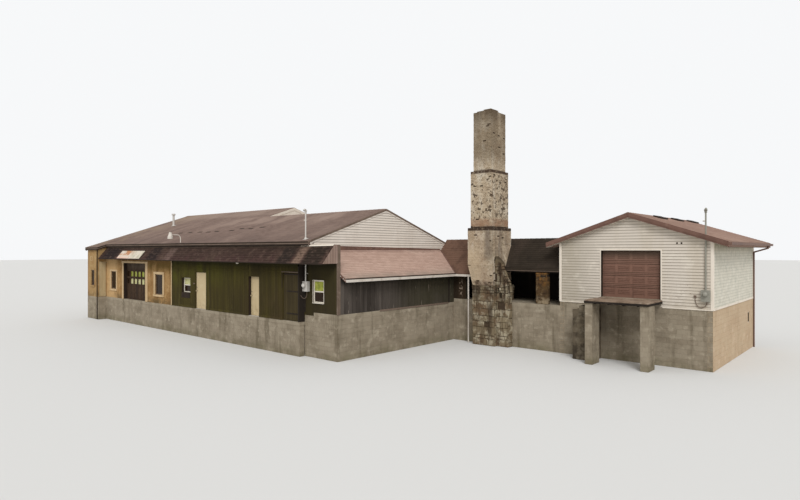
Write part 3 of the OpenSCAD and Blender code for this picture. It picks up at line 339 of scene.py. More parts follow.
aged("weathered_boards", "58514b", [
    ("625a54", 0.6, 1.6, 0.5, 0.72, DOWN),
    ("26211d", 0.8, 1.0, 0.42, 0.66, DOWN),
    ("3c382a", 0.85, 0.6, 0.1, 0.5, EVEN, [("y", 3.0, 6.5)]),
    # Darker towards the top, under the lean-to's eave: painted shade.
    ("1c1914", 0.7, 1.0, 0.1, 0.5, EVEN, [("z", 3.2, 3.5)]),
    ("a89a8e", 0.7, 8.0, 0.64, 0.74, DOWN),
], WOOD, 0.9, tint="322c27")
aged("panel_boards", "3e3022", [
    ("282018", 0.7, 1.4, 0.42, 0.66, DOWN),
    ("b09e8c", 0.85, 9.0, 0.52, 0.6, (1, 1, 0.8),
     between("x", 26.3, 26.5, 0.05) + between("z", 2.4, 3.3, 0.1)),
], WOOD, 0.9, tint="30261c")
# The siding finishes below paint a darker line under each lap: painted shadow.
aged("gable_siding", "dad1c6", [
    ("c4b9ac", 0.5, 1.1, 0.45, 0.75, DOWN),
    ("e6dfd6", 0.5, 2.0, 0.5, 0.75),
], FINE, 0.6, laps=(GABLE_SIDING_Z, "786e66", 0.6))
aged("annex_siding", "cec5b9", [
    ("beb29e", 0.5, 1.0, 0.45, 0.72, DOWN),
    ("96866c", 0.5, 2.4, 0.4, 0.75, EVEN, [("z", 3.1, 2.5)]),
    ("604e38", 0.8, 9.0, 0.6, 0.68, (0.6, 0.6, 2.0),
     between("z", 2.9, 3.5, 0.1) + between("x", 37.2, 38.2, 0.2)),
    # Darker towards the left end: painted shadow of a tree that is not built.
    ("a49c8c", 0.6, 1.0, 0.1, 0.5, EVEN, [("x", 34.4, 32.6)]),
    ("e2dacc", 0.5, 2.2, 0.5, 0.75),
], FINE, 0.6, laps=(SIDING_Z, "7e705e", 0.6))
aged("annex_side_siding", "d0cbbc", [
    ("bebcae", 0.5, 2.2, 0.42, 0.66),
    ("a2a292", 0.5, 7.0, 0.5, 0.7),
    # Darker towards the top, under the eave: painted shadow.
    ("7a7258", 0.7, 2.0, 0.15, 0.5, EVEN, [("z", 4.7, 5.1)]),
    ("e2ded2", 0.5, 3.6, 0.5, 0.7),
], FINE, 0.6, laps=(SIDING_Z, "969080", 0.35))
aged("concrete", "988d7b", [
    ("766b5a", 0.7, 1.2, 0.42, 0.7),
    ("5e5442", 0.7, 2.6, 0.5, 0.75, DOWN),
    ("b2a794", 0.6, 3.4, 0.52, 0.75),
    ("645e44", 0.6, 1.6, 0.3, 0.65, EVEN, [("z", 0.6, 0.0)]),
], ROUGH, tint="847867")
aged("beige_block", "bea98d", [
    ("ac9276", 0.6, 0.9, 0.45, 0.72),
    ("d6c2a8", 0.6, 1.8, 0.5, 0.75),
    ("866e56", 0.5, 2.4, 0.55, 0.8, DOWN),
], ROUGH, tint="b89e82", tint_amount=0.5)
aged("chimney_masonry", "c0b199", [
    ("9e8a72", 0.6, 1.6, 0.42, 0.66),
    ("d0c6b4", 0.8, 2.4, 0.48, 0.66, (1, 1, 0.4)),
    ("766450", 0.7, 14.0, 0.55, 0.63),
    ("ccbea8", 0.6, 10.0, 0.52, 0.62),
    ("967a64", 0.5, 1.0, 0.4, 0.7, DOWN, [("z", 6.6, 5.6)]),
    ("c4b094", 0.7, 0.9, 0.2, 0.5, EVEN, [("z", 5.4, 4.6), ("x", 28.4, 27.8)]),
    ("70614e", 0.7, 1.4, 0.15, 0.55, DOWN, [("z", 9.0, 10.0)]),
    ("544636", 0.8, 1.4, 0.15, 0.55, DOWN, [("z", 11.2, 12.2)]),
    ("6c6054", 0.7, 1.2, 0.4, 0.6, DOWN,
     between("z", 4.4, 6.2, 0.3) + between("x", 28.3, 29.0, 0.2)),
    ("967056", 0.7, 1.6, 0.2, 0.6, EVEN, between("z", 6.1, 6.5, 0.1)),
    ("46372b", 0.85, 7.0, 0.58, 0.61, (1, 1, 0.8), between("z", 6.4, 8.8, 0.3)),
    ("46372b", 0.85, 5.0, 0.55, 0.58, (1, 1, 0.9),
     between("z", 6.6, 8.8, 0.2) + [("x", 28.35, 28.6)]),
    # Dark bands where the stages step in, at 9.0 and 6.0: painted shade under the steps, with dark
    # weathering on the ledges.
    ("423025", 0.95, 4.0, 0.2, 0.5, EVEN, between("z", 8.87, 9.05, 0.03)),
    ("382a21", 0.95, 4.0, 0.2, 0.5, EVEN, between("z", 5.9, 6.12, 0.03)),
    ("423025", 0.85, 3.0, 0.3, 0.6, EVEN, between("z", 3.0, 3.3, 0.08)),
], ROUGH, tint="9e8c74")
aged("rubble_stone", "584c3a", [
    ("362b22", 0.8, 3.0, 0.42, 0.66),
    ("746650", 0.5, 6.0, 0.5, 0.75),
], ROUGH)
aged("rubble_faces", "847760", [
    ("68503c", 0.7, 1.6, 0.45, 0.64),
    ("aea48e", 0.8, 3.0, 0.48, 0.64),
    ("3e3126", 0.75, 3.0, 0.5, 0.66, DOWN),
    ("34281e", 0.9, 5.0, 0.42, 0.6, DOWN, [("z", 2.3, 2.8)]),
], ROUGH, tint="5c4d3a", tint_amount=0.7)
aged("pier_masonry", "56432b", [
    ("926226", 0.6, 2.4, 0.42, 0.64, EVEN, [("z", 2.9, 3.5)]),
    ("3a2c20", 0.8, 3.2, 0.44, 0.66),
    ("a09076", 0.7, 4.0, 0.4, 0.6, EVEN, [("z", 2.75, 2.35)]),
    ("927e62", 0.6, 6.0, 0.55, 0.75),
], ROUGH, tint="4a3826")
aged("white_metal", "cec6bc", [
    ("968878", 0.6, 2.4, 0.48, 0.74, DOWN),
    ("705c4a", 0.5, 9.0, 0.58, 0.78),
], FINE, 0.55)
aged("brown_metal", "70564a", [
    ("523e36", 0.6, 1.8, 0.45, 0.75),
    ("907666", 0.5, 4.0, 0.55, 0.8),
], FINE, 0.6)
aged("grey_metal", "c6c1ba", [
    ("8c867e", 0.6, 5.0, 0.5, 0.75, DOWN),
    ("8c6c54", 0.4, 14.0, 0.6, 0.8),
    ("868478", 0.9, 1.0, *ALL_OVER, EVEN, [("x", 30.0, 32.0)]),
], FINE, 0.5, metal=0.1)
aged("dark_overhead", "3e2d1e", [
    ("241b15", 0.8, 2.2, 0.42, 0.66, DOWN),
    ("54483c", 0.7, 1.6, 0.3, 0.6, EVEN, [("z", 3.5, 3.8)]),
    ("6a5440", 0.5, 4.0, 0.54, 0.74, DOWN),
], WOOD, 0.8)
aged("brown_overhead", "7a5a4c", [
    ("64483c", 0.6, 1.2, 0.42, 0.72, (0.4, 1, 1.6)),
    ("907060", 0.5, 2.6, 0.52, 0.78),
    ("4a362c", 0.5, 5.0, 0.55, 0.8, DOWN),
    # Darker top row under the door's head: painted shade.
    ("544438", 0.8, 1.0, *ALL_OVER, EVEN, [("z", 4.35, 4.8)]),
], FINE, 0.65)
aged("cream_door", "beab86", [
    ("a08d68", 0.6, 1.6, 0.45, 0.7, DOWN),
    ("7c6646", 0.6, 4.0, 0.45, 0.7, EVEN, [("z", 2.3, 1.6)]),
    ("ccbe9c", 0.5, 3.0, 0.5, 0.75),
], FINE, 0.6)
aged("plank_boards", "443b26", [
    ("2c2519", 0.7, 1.8, 0.45, 0.7, DOWN),
    ("60543a", 0.5, 4.0, 0.55, 0.8, DOWN),
], WOOD, 0.9, tint="38301e")
aged("frame_paint", "ded6c8", [
    ("58422e", 0.95, 1.0, *ALL_OVER, EVEN, [("x", 12.0, 11.7)]),
    ("b6a68e", 0.6, 4.0, 0.5, 0.75),
], FINE, 0.6)
aged("steel_pins", "6e6a64", [
    ("78523a", 0.6, 30.0, 0.5, 0.75),
], FINE, 0.4, metal=0.8)
aged("dark_timber", "2c2621", [
    ("463c32", 0.6, 2.0, 0.5, 0.75, DOWN),
    ("1a1614", 0.7, 1.2, 0.45, 0.7, DOWN),
], WOOD, 0.9, tint="221d1a")
aged("cream_trim", "c6ac86", [
    ("a48a64", 0.6, 1.8, 0.45, 0.7, DOWN),
    ("745c3c", 0.5, 5.0, 0.55, 0.78),
], FINE, 0.75)
aged("white_trim", "e0d6c8", [
    ("beb09c", 0.5, 2.4, 0.48, 0.74, DOWN),
], FINE, 0.6)
aged("brown_trim", "705449", [
    ("543f37", 0.6, 1.4, 0.45, 0.72),
    ("8c7062", 0.5, 5.0, 0.52, 0.78),
], FINE, 0.75)
aged("dull_trim", "706054", [
    ("4e4238", 0.6, 1.4, 0.45, 0.72),
    ("928274", 0.5, 5.0, 0.52, 0.78),
], FINE, 0.8)
aged("dark_trim", "30261f", [
    ("1c1713", 0.6, 1.6, 0.45, 0.72),
    ("4e4036", 0.5, 4.0, 0.55, 0.78),
], WOOD)
aged("cheek_boards", "a08a7e", [
    ("7a6458", 0.7, 1.2, 0.42, 0.66, DOWN),
    ("beaca0", 0.5, 3.0, 0.5, 0.75, DOWN),
    ("705850", 0.7, 1.0, 0.2, 0.6, EVEN, [("y", 0.1, 0.4)]),
], WOOD, tint="8a7468")
aged("dark_gap", "42362a", [
    ("5c4c3a", 0.6, 4.0, 0.45, 0.7),
], ROUGH)
aged("faded_board", "d0c6b6", [
    ("b0703e", 0.9, 2.2, 0.4, 0.56, EVEN, [("x", 7.4, 6.2), ("z", 4.5, 4.62)]),
    ("dcb09c", 0.7, 1.6, 0.2, 0.6, EVEN, [("x", 7.6, 6.0), ("z", 4.55, 4.4)]),
    ("aaa892", 0.7, 2.6, 0.45, 0.66, EVEN, [("x", 6.4, 7.4)]),
    ("8c7054", 0.6, 5.0, 0.52, 0.7, DOWN),
], FINE, 0.7)
aged("dock_top", "927e6c", [
    ("604e40", 0.7, 2.0, 0.42, 0.66),
    ("b4a492", 0.6, 3.4, 0.5, 0.72),
], ROUGH, tint="746252")
aged("dark_steps", "706554", [
    ("362f26", 0.8, 2.0, 0.4, 0.64),
    ("867c6a", 0.6, 3.4, 0.5, 0.72),
], ROUGH, tint="4a4136")
# Sheets that paint the light seen through some panes: painted light, not a film on the glass.
aged("film_green", "989c30", [
    ("707a14", 0.8, 5.0, 0.4, 0.62),
    ("b8ba64", 0.6, 9.0, 0.5, 0.7),
], FINE, 0.4)
aged("film_pale", "c2be8a", [
    ("a0a25c", 0.7, 5.0, 0.42, 0.66),
    ("dad4b8", 0.6, 8.0, 0.5, 0.7),
], FINE, 0.4)


def glass():
    """Adds the dark, slightly uneven glass."""
    made = Finish("window_glass", 0.06)
    made.shader.inputs["Base Color"].default_value = colour("302318")
    made.shader.inputs["Transmission Weight"].default_value = 0.2
    made.shader.inputs["IOR"].default_value = 1.3
    made.shader.inputs["Specular IOR Level"].default_value = 0.12
    film = made.span(made.noise(3.0, (1, 1, 0.5)), 0.4, 0.8, 0.05, 0.22)
    made.put(film, made.shader.inputs["Roughness"])
    MATERIALS["window_glass"] = made.material


glass()

# Finishes that the record doesn't name take the slot of what they stand on
NODE_FINISHES = {"dock_slab": "dock_top", "dock_steps": "dark_steps",
                 "annex_basement_ends": "concrete", "back_walls": "side_stucco",
                 "left_end_wall": "side_stucco"}
for row in frame["record"]["subparts"]:
    finish = NODE_FINISHES.get(row["node"], row["material_slot"])
    NODES[row["node"]].data.materials[0] = MATERIALS[finish]


# Meshes


def shown(name, data):
    """A new object in the scene."""
    made = bpy.data.objects.new(name, data)
    bpy.context.scene.collection.objects.link(made)
    return made


def place(name, mesh, materials, body):
    """Puts a mesh into the scene as a piece that rides on a body."""
    for material in materials:
        mesh.materials.append(MATERIALS[material])
    piece = shown(name, mesh)
    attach(piece, body)


def solid(name, verts, faces, materials, body="building", tints=None, indexes=None, smooth=False):
    """A piece from points and faces, with a tint and a material number for each face."""
    mesh = bpy.data.meshes.new(name)
    mesh.from_pydata(verts, [], faces)
    if indexes:
        mesh.polygons.foreach_set("material_index", indexes)
    if tints:
        attribute = mesh.attributes.new("tint", "FLOAT", "FACE")
        attribute.data.foreach_set("value", tints)
    if smooth:
        mesh.polygons.foreach_set("use_smooth", [True] * len(mesh.polygons))
    place(name, mesh, materials, body)


def outer_faces(node, facing, keep_all):
    """A CAD node's flat faces that look along facing, joined: the outermost, or all of them."""
    faces = bmesh.new()
    faces.from_mesh(NODES[node].data)
    bmesh.ops.remove_doubles(faces, verts=faces.verts, dist=1e-4)
    faces.normal_update()
    along = [f for f in faces.faces if f.normal.dot(facing) > 0.9995]
    furthest = max(f.calc_center_median().dot(facing) for f in along)
    kept = {f for f in along if keep_all or f.calc_center_median().dot(facing) > furthest - 0.01}
    bmesh.ops.delete(faces, geom=[f for f in faces.faces if f not in kept], context="FACES")
    bmesh.ops.dissolve_limit(faces, angle_limit=0.005, verts=faces.verts, edges=faces.edges)
    return faces


def stacked(rings, base):
    """The faces of a closed piece from rings of points, whose first point has number base."""
    count = len(rings[0])
    last = base + (len(rings) - 1) * count
    faces = []
    for low in range(base, last, count):
        for i in range(count):
            j = (i + 1) % count
            faces.append((low + i, low + j, low + count + j, low + count + i))
    return [*faces, tuple(reversed(range(base, base + count))), tuple(range(last, last + count))]


def cut(faces, chosen, across, distance):
    """Cuts the chosen faces at a distance along a direction, and returns what they became."""
    around = {e for f in chosen for e in f.edges} | {v for f in chosen for v in f.verts}
    geom = chosen + list(around)
    result = bmesh.ops.bisect_plane(faces, geom=geom, dist=1e-5, plane_co=across * distance,
                                    plane_no=across)
    return [g for g in result["geom"] if isinstance(g, bmesh.types.BMFace)]


class Slabs:
    """How the slabs on a face are made.

    height(share, seed) is how far a slab stands out, where share runs from 0 at its row's lower
    edge to 1 at its upper edge and seed is the slab's own number from 0 to 1. gap is the joint
    between slabs, soft the rounding of their edges, jitter their unevenness, and pits the share
    of slabs that are broken out.
    """

    def __init__(self, height, gap=0.0, soft=0.0, jitter=0.0, pits=0.0):
        self.height, self.gap, self.soft = height, gap, soft
        self.jitter, self.pits = jitter, pits


def dress(name, node, facing, up, levels, columns, slabs, material, keep_all=False, keep=None,
          body="building"):
    """Closed slabs on a CAD node's face, cut at levels along up and at columns(row), if any."""
    facing, up = Vector(facing).normalized(), Vector(up).normalized()
    across = up.cross(facing)
    faces = outer_faces(node, facing, keep_all)
    for level in levels:
        cut(faces, faces.faces[:], up, level)
    bmesh.ops.split_edges(faces, edges=faces.edges[:])
    rows = {}
    for face in faces.faces:
        middle = face.calc_center_median().dot(up)
        rows.setdefault(sum(level < middle for level in levels) - 1, []).append(face)
    for row, members in rows.items():
        for column in columns(row) if columns else ():
            members = cut(faces, members, across, column)
    if slabs.gap:
        bmesh.ops.split_edges(faces, edges=faces.edges[:])
        rim = bmesh.ops.inset_individual(faces, faces=faces.faces[:], thickness=slabs.gap / 2,
                                         use_even_offset=True)["faces"]
        bmesh.ops.delete(faces, geom=rim, context="FACES")
    verts, polygons, tints, indexes = [], [], [], []
    sink, pit_height, least_area = 0.004, 0.002, 1e-4
    for face in faces.faces:
        centre = face.calc_center_median()
        row = sum(level < centre.dot(up) for level in levels) - 1
        if row < 0 or face.calc_area() < least_area or (keep and not keep(centre)):
            continue
        low, high = levels[row], levels[min(row + 1, len(levels) - 1)]
        seed = random.Random(round(centre.x * 97 + centre.y * 89 + centre.z * 83, 3)).random()
        ring = [v.co.copy() for v in face.verts]
        pit = seed < slabs.pits
        soft = 0.0 if pit else slabs.soft
        rise = [slabs.height((p.dot(up) - low) / max(high - low, 0.01), seed) for p in ring]
        if slabs.jitter:
            rise = [r + slabs.jitter * noise.noise(p * 6 + facing * 9)
                    for r, p in zip(rise, ring)]
        if pit:
            rise = [pit_height] * len(ring)
        layers = [[p - facing * sink for p in ring]]
        if soft:
            layers.append([p + facing * (r - soft) for p, r in zip(ring, rise)])
        pull = min(0.45, soft / max(0.01, math.sqrt(face.calc_area()) / 2))
        layers.append([p.lerp(centre, pull) + facing * r for p, r in zip(ring, rise)])
        made = stacked(layers, len(verts))
        verts += [point for layer in layers for point in layer]
        polygons += made
        tints += [seed] * len(made)
        indexes += [int(pit)] * len(made)
    faces.free()
    if not verts:
        return
    materials = [material, "dark_gap"] if slabs.pits else [material]
    solid(name, verts, polygons, materials, body, tints, indexes)


def steps(low, high, pitch):
    """Levels from low to past high, a pitch apart."""
    return [low + k * pitch for k in range(int((high - low) / pitch) + 2)]


def uneven(low, high, pitch, wobble, chance):
    """Levels from low to past high, about a pitch apart."""
    levels = [low]
    while levels[-1] < high:
        levels.append(levels[-1] + pitch * chance.uniform(1 - wobble, 1 + wobble))
    return levels


def reach(node, direction):
    """Lowest and highest place of a CAD node along a direction."""
    places = [v.co.dot(direction) for v in NODES[node].data.vertices]
    return min(places), max(places)


def face_frame(node, facing):
    """A face's upward direction, and the node's reach along it and across it."""
    facing = Vector(facing)
    up = (UP - facing * facing.z).normalized()
    return up, *reach(node, up), *reach(node, up.cross(facing))


def shingles(name, node, facing, material, lean=0.009, keep_all=False):
    """Courses of shingles from a roof face's lower edge up, each tab with its own tint."""
    facing = Vector(facing).normalized()
    up, low, high, start, end = face_frame(node, facing)
    course, tab = 0.143, 0.305
    dress(name, node, facing, up, steps(low, high, course),
          lambda row: steps(start - tab + (row % 3) * tab * 0.37, end, tab),
          Slabs(lambda share, seed: 0.004 + lean * (1 - share) + 0.002 * seed), material, keep_all)


def boards(name, node, facing, pitch, material, keep=None, thick=0.012, keep_all=False,
           body="building"):
    """Upright boards with a groove between them."""
    across = UP.cross(Vector(facing))
    slabs = Slabs(lambda share, seed: thick + 0.002 * seed, gap=0.014, soft=0.002)
    dress(name, node, facing, across, steps(*reach(node, across), pitch), None, slabs, material,
          keep_all, keep, body)


def blocks(name, node, facing, material, keep_all=False):
    """Courses of masonry blocks with sunk joints."""
    up, low, high, start, end = face_frame(node, facing)
    course, length = 0.2, 0.4
    dress(name, node, facing, up, steps(low, high, course),
          lambda row: steps(start - length + (row % 2) * length / 2, end, length),
          Slabs(lambda share, seed: 0.006 + 0.003 * seed, gap=0.012, soft=0.003), material,
          keep_all)


def sides(node, least_area=0.1):
    """The directions that a CAD node's upright and leaning faces look along."""
    found = {}
    for face in NODES[node].data.polygons:
        if abs(face.normal.z) < 0.7:
            key = tuple(round(part, 2) for part in face.normal)
            normal, area = found.get(key, (face.normal.copy(), 0.0))
            found[key] = (normal, area + face.area)
    return [normal for normal, area in found.values() if area > least_area]


def masonry(name, node, material, course, length, slabs, wobble=0.0, keep=None):
    """Courses of rough stones all round a CAD node."""
    for number, facing in enumerate(sides(node)):
        up, low, high, start, end = face_frame(node, facing)

        def columns(row):
            chance = random.Random(f"{name}{number}{row}")
            return uneven(start - length * chance.random(), end, length, wobble, chance)
        levels = uneven(low, high, course, wobble, random.Random(name + str(number)))
        dress(f"{name}_{number}", node, facing, up, levels, columns, slabs, material, True,
              keep and (lambda centre: keep(centre, facing)))


def softened(name, made, bevel, material, body="building"):
    """A piece from a finished mesh, with its edges cut off by bevel."""
    bmesh.ops.recalc_face_normals(made, faces=made.faces[:])
    bmesh.ops.bevel(made, geom=made.edges[:], offset=bevel, segments=1, affect="EDGES")
    mesh = bpy.data.meshes.new(name)
    made.to_mesh(mesh)
    made.free()
    place(name, mesh, [material], body)


def strips(name, runs, material, body="building", bevel=0.004):
    """Bars with softened edges, each from a to b in plan metres and as wide as two sides."""
    made = bmesh.new()
    for a, b, side, top in runs:
        side, top = Vector(side), Vector(top)
        ring = [Vector(), side, side + top, top]
        verts = [made.verts.new(at(*end) + corner) for end in (a, b) for corner in ring]
        for quad in ((0, 1, 2, 3), (7, 6, 5, 4), (0, 4, 5, 1), (1, 5, 6, 2), (2, 6, 7, 3),
                     (3, 7, 4, 0)):
            made.faces.new([verts[i] for i in quad])
    softened(name, made, bevel, material, body)


def bars(name, spans, material, body="building", bevel=0.004):
    """Upright boxes with softened edges, each from one corner to the other in plan metres."""
    strips(name, [((x0, y0, z0), (x1, y0, z0), (0, y1 - y0, 0), (0, 0, z1 - z0))
                  for (x0, y0, z0), (x1, y1, z1) in spans], material, body, bevel)


def plate(name, outline, thick, material):
    """A flat sheet with an outline in plan metres, as thick as a vector."""
    made = bmesh.new()
    lower = [made.verts.new(at(*p)) for p in outline]
    upper = [made.verts.new(at(*p) + Vector(thick)) for p in outline]
    made.faces.new(lower)
    made.faces.new(upper)
    for i in range(len(outline)):
        j = (i + 1) % len(outline)
        made.faces.new((lower[i], lower[j], upper[j], upper[i]))
    softened(name, made, 0.002, material)


def sweep(name, points, radius, material, steps_each=6, sides=10):
    """A round bar along a smooth curve through points in plan metres."""
    ends = [points[0], *points, points[-1]]
    route = []
    for k in range(1, len(ends) - 2):
        p0, p1, p2, p3 = (Vector(p) for p in ends[k - 1:k + 3])
        for i in range(steps_each):
            t = i / steps_each
            route.append(0.5 * (2 * p1 + (p2 - p0) * t + (2 * p0 - 5 * p1 + 4 * p2 - p3) * t * t
                                + (3 * p1 - p0 - 3 * p2 + p3) * t ** 3))
    route = [at(*p) for p in route + [Vector(points[-1])]]
    rings = []
    for k, point in enumerate(route):
        ahead = (route[min(k + 1, len(route) - 1)] - route[max(k - 1, 0)]).normalized()
        side = ahead.cross(Vector((0.31, 0.17, 0.94))).normalized()
        top = side.cross(ahead)
        turns = [2 * math.pi * i / sides for i in range(sides)]
        rings.append([point + (side * math.cos(a) + top * math.sin(a)) * radius for a in turns])
    solid(name, [p for ring in rings for p in ring], stacked(rings, 0), [material], smooth=True)


def turned(name, centre, profile, material, body="building", axis=UP, sides=24):
    """A round piece from (radius, height) pairs along an axis."""
    turn = UP.rotation_difference(Vector(axis))
    angles = [2 * math.pi * i / sides for i in range(sides)]
    rings = [[at(*centre) + turn @ Vector((radius * math.cos(a), radius * math.sin(a), height))
              for a in angles] for radius, height in profile]
    solid(name, [p for ring in rings for p in ring], stacked(rings, 0), [material], body,
          smooth=True)


def ridge_caps(name, start, end, drop, material):
    """Bent shingles along a ridge, each lapped over the last, with the slopes' drop per metre."""
    start, end = Vector(start), Vector(end)
    count = round((end - start).length / 0.3)
    along = (end - start) / count
    side = Vector((-along.y, along.x, 0)).normalized() * 0.15
    verts, faces, tints = [], [], []
    for k in range(count):
        base, chance = len(verts), random.Random(f"{name}{k}")
        for share, lift in ((0.0, 0.024), (1.15, 0.014)):
            crest = start + along * min(k + share, count)
            for depth in (0.0, 0.01):
                for reach_out in (-1, 0, 1):
                    fall = UP * (lift - depth - abs(reach_out) * 0.15 * drop)
                    verts.append(at(*(crest + side * reach_out)) + fall)
        ring = [base + i for i in (0, 1, 2, 5, 4, 3)]
        for i in range(6):
            a, b = ring[i], ring[(i + 1) % 6]
            faces.append((b, a, a + 6, b + 6))
        for i in (0, 1):
            top, under = base + i, base + i + 3
            faces.append((top, top + 1, under + 1, under))
            faces.append((top + 7, top + 6, under + 6, under + 7))
        tints += [chance.random()] * 10
    solid(name, verts, faces, [material], tints=tints)


def on_main(x, y, rise=0.0):
    """A point on the main roof's top, or above it."""
    return (x, y, main_z(y) + rise)


def on_annex(x, y, rise=0.0):
    """A point on the annex roof's top, or above it."""
    return (x, y, annex_z(x) + rise)


# Roofs
shingles("front_roof_shingles", "front_roof", (0, -FRONT_SLOPE, 1), "main_shingles")
shingles("back_roof_shingles", "back_roofs", (0, FRONT_SLOPE, 1), "main_shingles", keep_all=True)
shingles("lean_to_shingles", "lean_to_roof", (LEAN_SLOPE, 0, 1), "pale_shingles")
shingles("link_front_shingles", "link_front_roof", (0, -1, 1), "link_shingles")
shingles("link_back_shingles", "link_back_roof", (0, 1, 1), "link_shingles")
shingles("annex_left_shingles", "annex_left_roof", (-FRONT_SLOPE, 0, 1), "annex_shingles")
shingles("annex_right_shingles", "annex_right_roof", (FRONT_SLOPE, 0, 1), "annex_shingles")
shingles("mansard_face_shingles", "mansard", (0, -0.83, 0.69), "mansard_shingles", 0.014)
ROOF_STEP = RETURN_X + 0.1
for name, start, end, drop, finish in (
    ("high", on_main(ROOF_LEFT, HIGH_RIDGE_Y), on_main(ROOF_STEP, HIGH_RIDGE_Y), FRONT_SLOPE,
     "main"),
    ("low", on_main(ROOF_STEP, LOW_RIDGE_Y), on_main(GABLE_X, LOW_RIDGE_Y), FRONT_SLOPE, "main"),
    ("link", (GABLE_X, LINK_RIDGE_Y, LINK_RIDGE_Z), (ANNEX_X - 0.6, LINK_RIDGE_Y, LINK_RIDGE_Z),
     1.0, "link"),
    ("annex", on_annex(ANNEX_MID, ANNEX_FRONT), on_annex(ANNEX_MID, ANNEX_TAIL), FRONT_SLOPE,
     "annex"),
):
    ridge_caps(name + "_ridge_caps", start, end, drop, finish + "_shingles")

# Short dark marks on the front slope, painted shadows under lifted shingles, and vents on the annex
# roof
LIFTED_SHINGLE_SHADOWS = [(9.8, 2.04), (11.0, 2.06), (12.1, 2.0), (12.95, 2.09), (14.5, 2.14), (15.1, 2.46),
         (16.1, 2.4), (17.0, 2.57), (8.6, 2.0)]
strips("lifted_shingle_painted_shadows", [(on_main(x - 0.22, y, 0.01), on_main(x + 0.22, y, 0.01),
                       (0, 0.13, 0.13 * FRONT_SLOPE), (0, -0.004, 0.012)) for x, y in LIFTED_SHINGLE_SHADOWS],
       "dark_trim", bevel=0.002)
VENT_X = ANNEX_MID + 0.2
strips("annex_roof_vents", [(on_annex(VENT_X, y), on_annex(VENT_X, y + 1.1),
                             (0.35, 0, -0.35 * FRONT_SLOPE), (0.02, 0, 0.07))
                            for y in (11.3, 14.0, 16.8)], "dark_trim", bevel=0.008)

# Lap siding, thickest at each course's lower edge
for name, node, facing, start, finish in (
    ("annex_front", "annex_end_walls", FORWARD, SIDING_Z, "annex"),
    ("annex_door_head", "annex_front_gable", FORWARD, SIDING_Z, "annex"),
    ("annex_back", "annex_end_walls", BACKWARD, SIDING_Z, "annex"),
    ("annex_right", "annex_side_walls", RIGHT, SIDING_Z, "annex_side"),
    ("annex_left", "annex_side_walls", LEFTWARD, SIDING_Z, "annex"),
    ("end_gable", "end_gable_wall", RIGHT, GABLE_SIDING_Z, "gable"),
    ("return_gable", "return_gable_wall", RIGHT, GABLE_SIDING_Z, "gable"),
):
    dress(name + "_siding", node, facing, UP, steps(start, reach(node, UP)[1], LAP), None,
          Slabs(lambda share, seed: 0.003 + 0.015 * (1 - share)), finish + "_siding")

# Boards
for node in ("board_wall", "board_wall_heads"):
    boards(node + "_boards", node, FORWARD, 0.203, "dark_boards",
           keep=lambda c: c.z < SKIRT_Z + 0.3)
boards("corner_wall_boards", "corner_wall", FORWARD, 0.203, "dark_boards",
       keep=lambda c: c.z < SKIRT_Z)
boards("lean_to_wall_boards", "lean_to_wall", RIGHT, 0.24, "weathered_boards", keep_all=True,
       keep=lambda c: LEAN_X - 0.01 < c.x - LEFT < LEAN_X + 0.01)
boards("panel_beside_chimney_boards", "lean_to_wall", FORWARD, 0.16, "panel_boards",
       keep_all=True, keep=lambda c: c.x > at(LEAN_X, 0, 0).x)
boards("cheek_boards", "mansard", RIGHT, 0.152, "cheek_boards", thick=0.006)
boards("link_back_boards", "link_back_wall", BACKWARD, 0.24, "dark_timber")
boards("plank_door_boards", "plank_door", FORWARD, 0.14, "plank_boards", thick=0.006,
       keep_all=True, keep=lambda c: c.y > at(0, 0.048, 0).y, body="boarded_door")

# Blocks and foundations
for node, directions, finish, keep_all in (
    ("long_foundation", (FORWARD, RIGHT, BACKWARD), "concrete", True),
    ("cross_foundation", (LEFTWARD, RIGHT), "concrete", False),
    ("lean_to_foundation", (FORWARD, RIGHT, BACKWARD), "concrete", False),
    ("link_foundation", (FORWARD, BACKWARD), "concrete", False),
    ("annex_basement_ends", (FORWARD, BACKWARD), "concrete", False),
    ("dock_piers", (FORWARD, RIGHT, LEFTWARD, BACKWARD), "concrete", True),
    ("dock_steps", (FORWARD, LEFTWARD), "dark_steps", True),
):
    for number, side in enumerate(directions):
        blocks(f"{node}_blocks_{number}", node, side, finish, keep_all)
for name, side, finish in (
    ("blocks_0", LEFTWARD, "beige_block"), ("blocks_1", RIGHT, "beige_block"),
    ("front_blocks", FORWARD, "concrete"), ("back_blocks", BACKWARD, "concrete"),
):
    blocks("annex_basement_" + name, "annex_basement_sides", side, finish)

# Chimney and pier
masonry("chimney_stones", "chimney_stack", "chimney_masonry", 0.075, 0.21,
        Slabs(lambda share, seed: 0.004 + 0.009 * seed, 0.01, 0.003, 0.012, 0.014), 0.06,
        lambda centre, facing: (centre - FLUE).xy.dot(facing.xy) > 0)
masonry("chimney_base_stones", "chimney_base", "rubble_faces", 0.27, 0.3,
        Slabs(lambda share, seed: 0.015 + 0.045 * seed, 0.02, 0.02, 0.045, 0.04), 0.65,
        lambda centre, facing: facing.y > -0.9 or centre.y < at(0, 8.6, 0).y)
masonry("pier_stones", "link_pier", "pier_masonry", 0.16, 0.24,
        Slabs(lambda share, seed: 0.012 + 0.016 * seed, 0.014, 0.012, 0.014), 0.35)

# Front edge of the main roof and of the roof over the bay
EDGE_Y = -0.03
VERGE_X = BAY_EDGE + 0.05
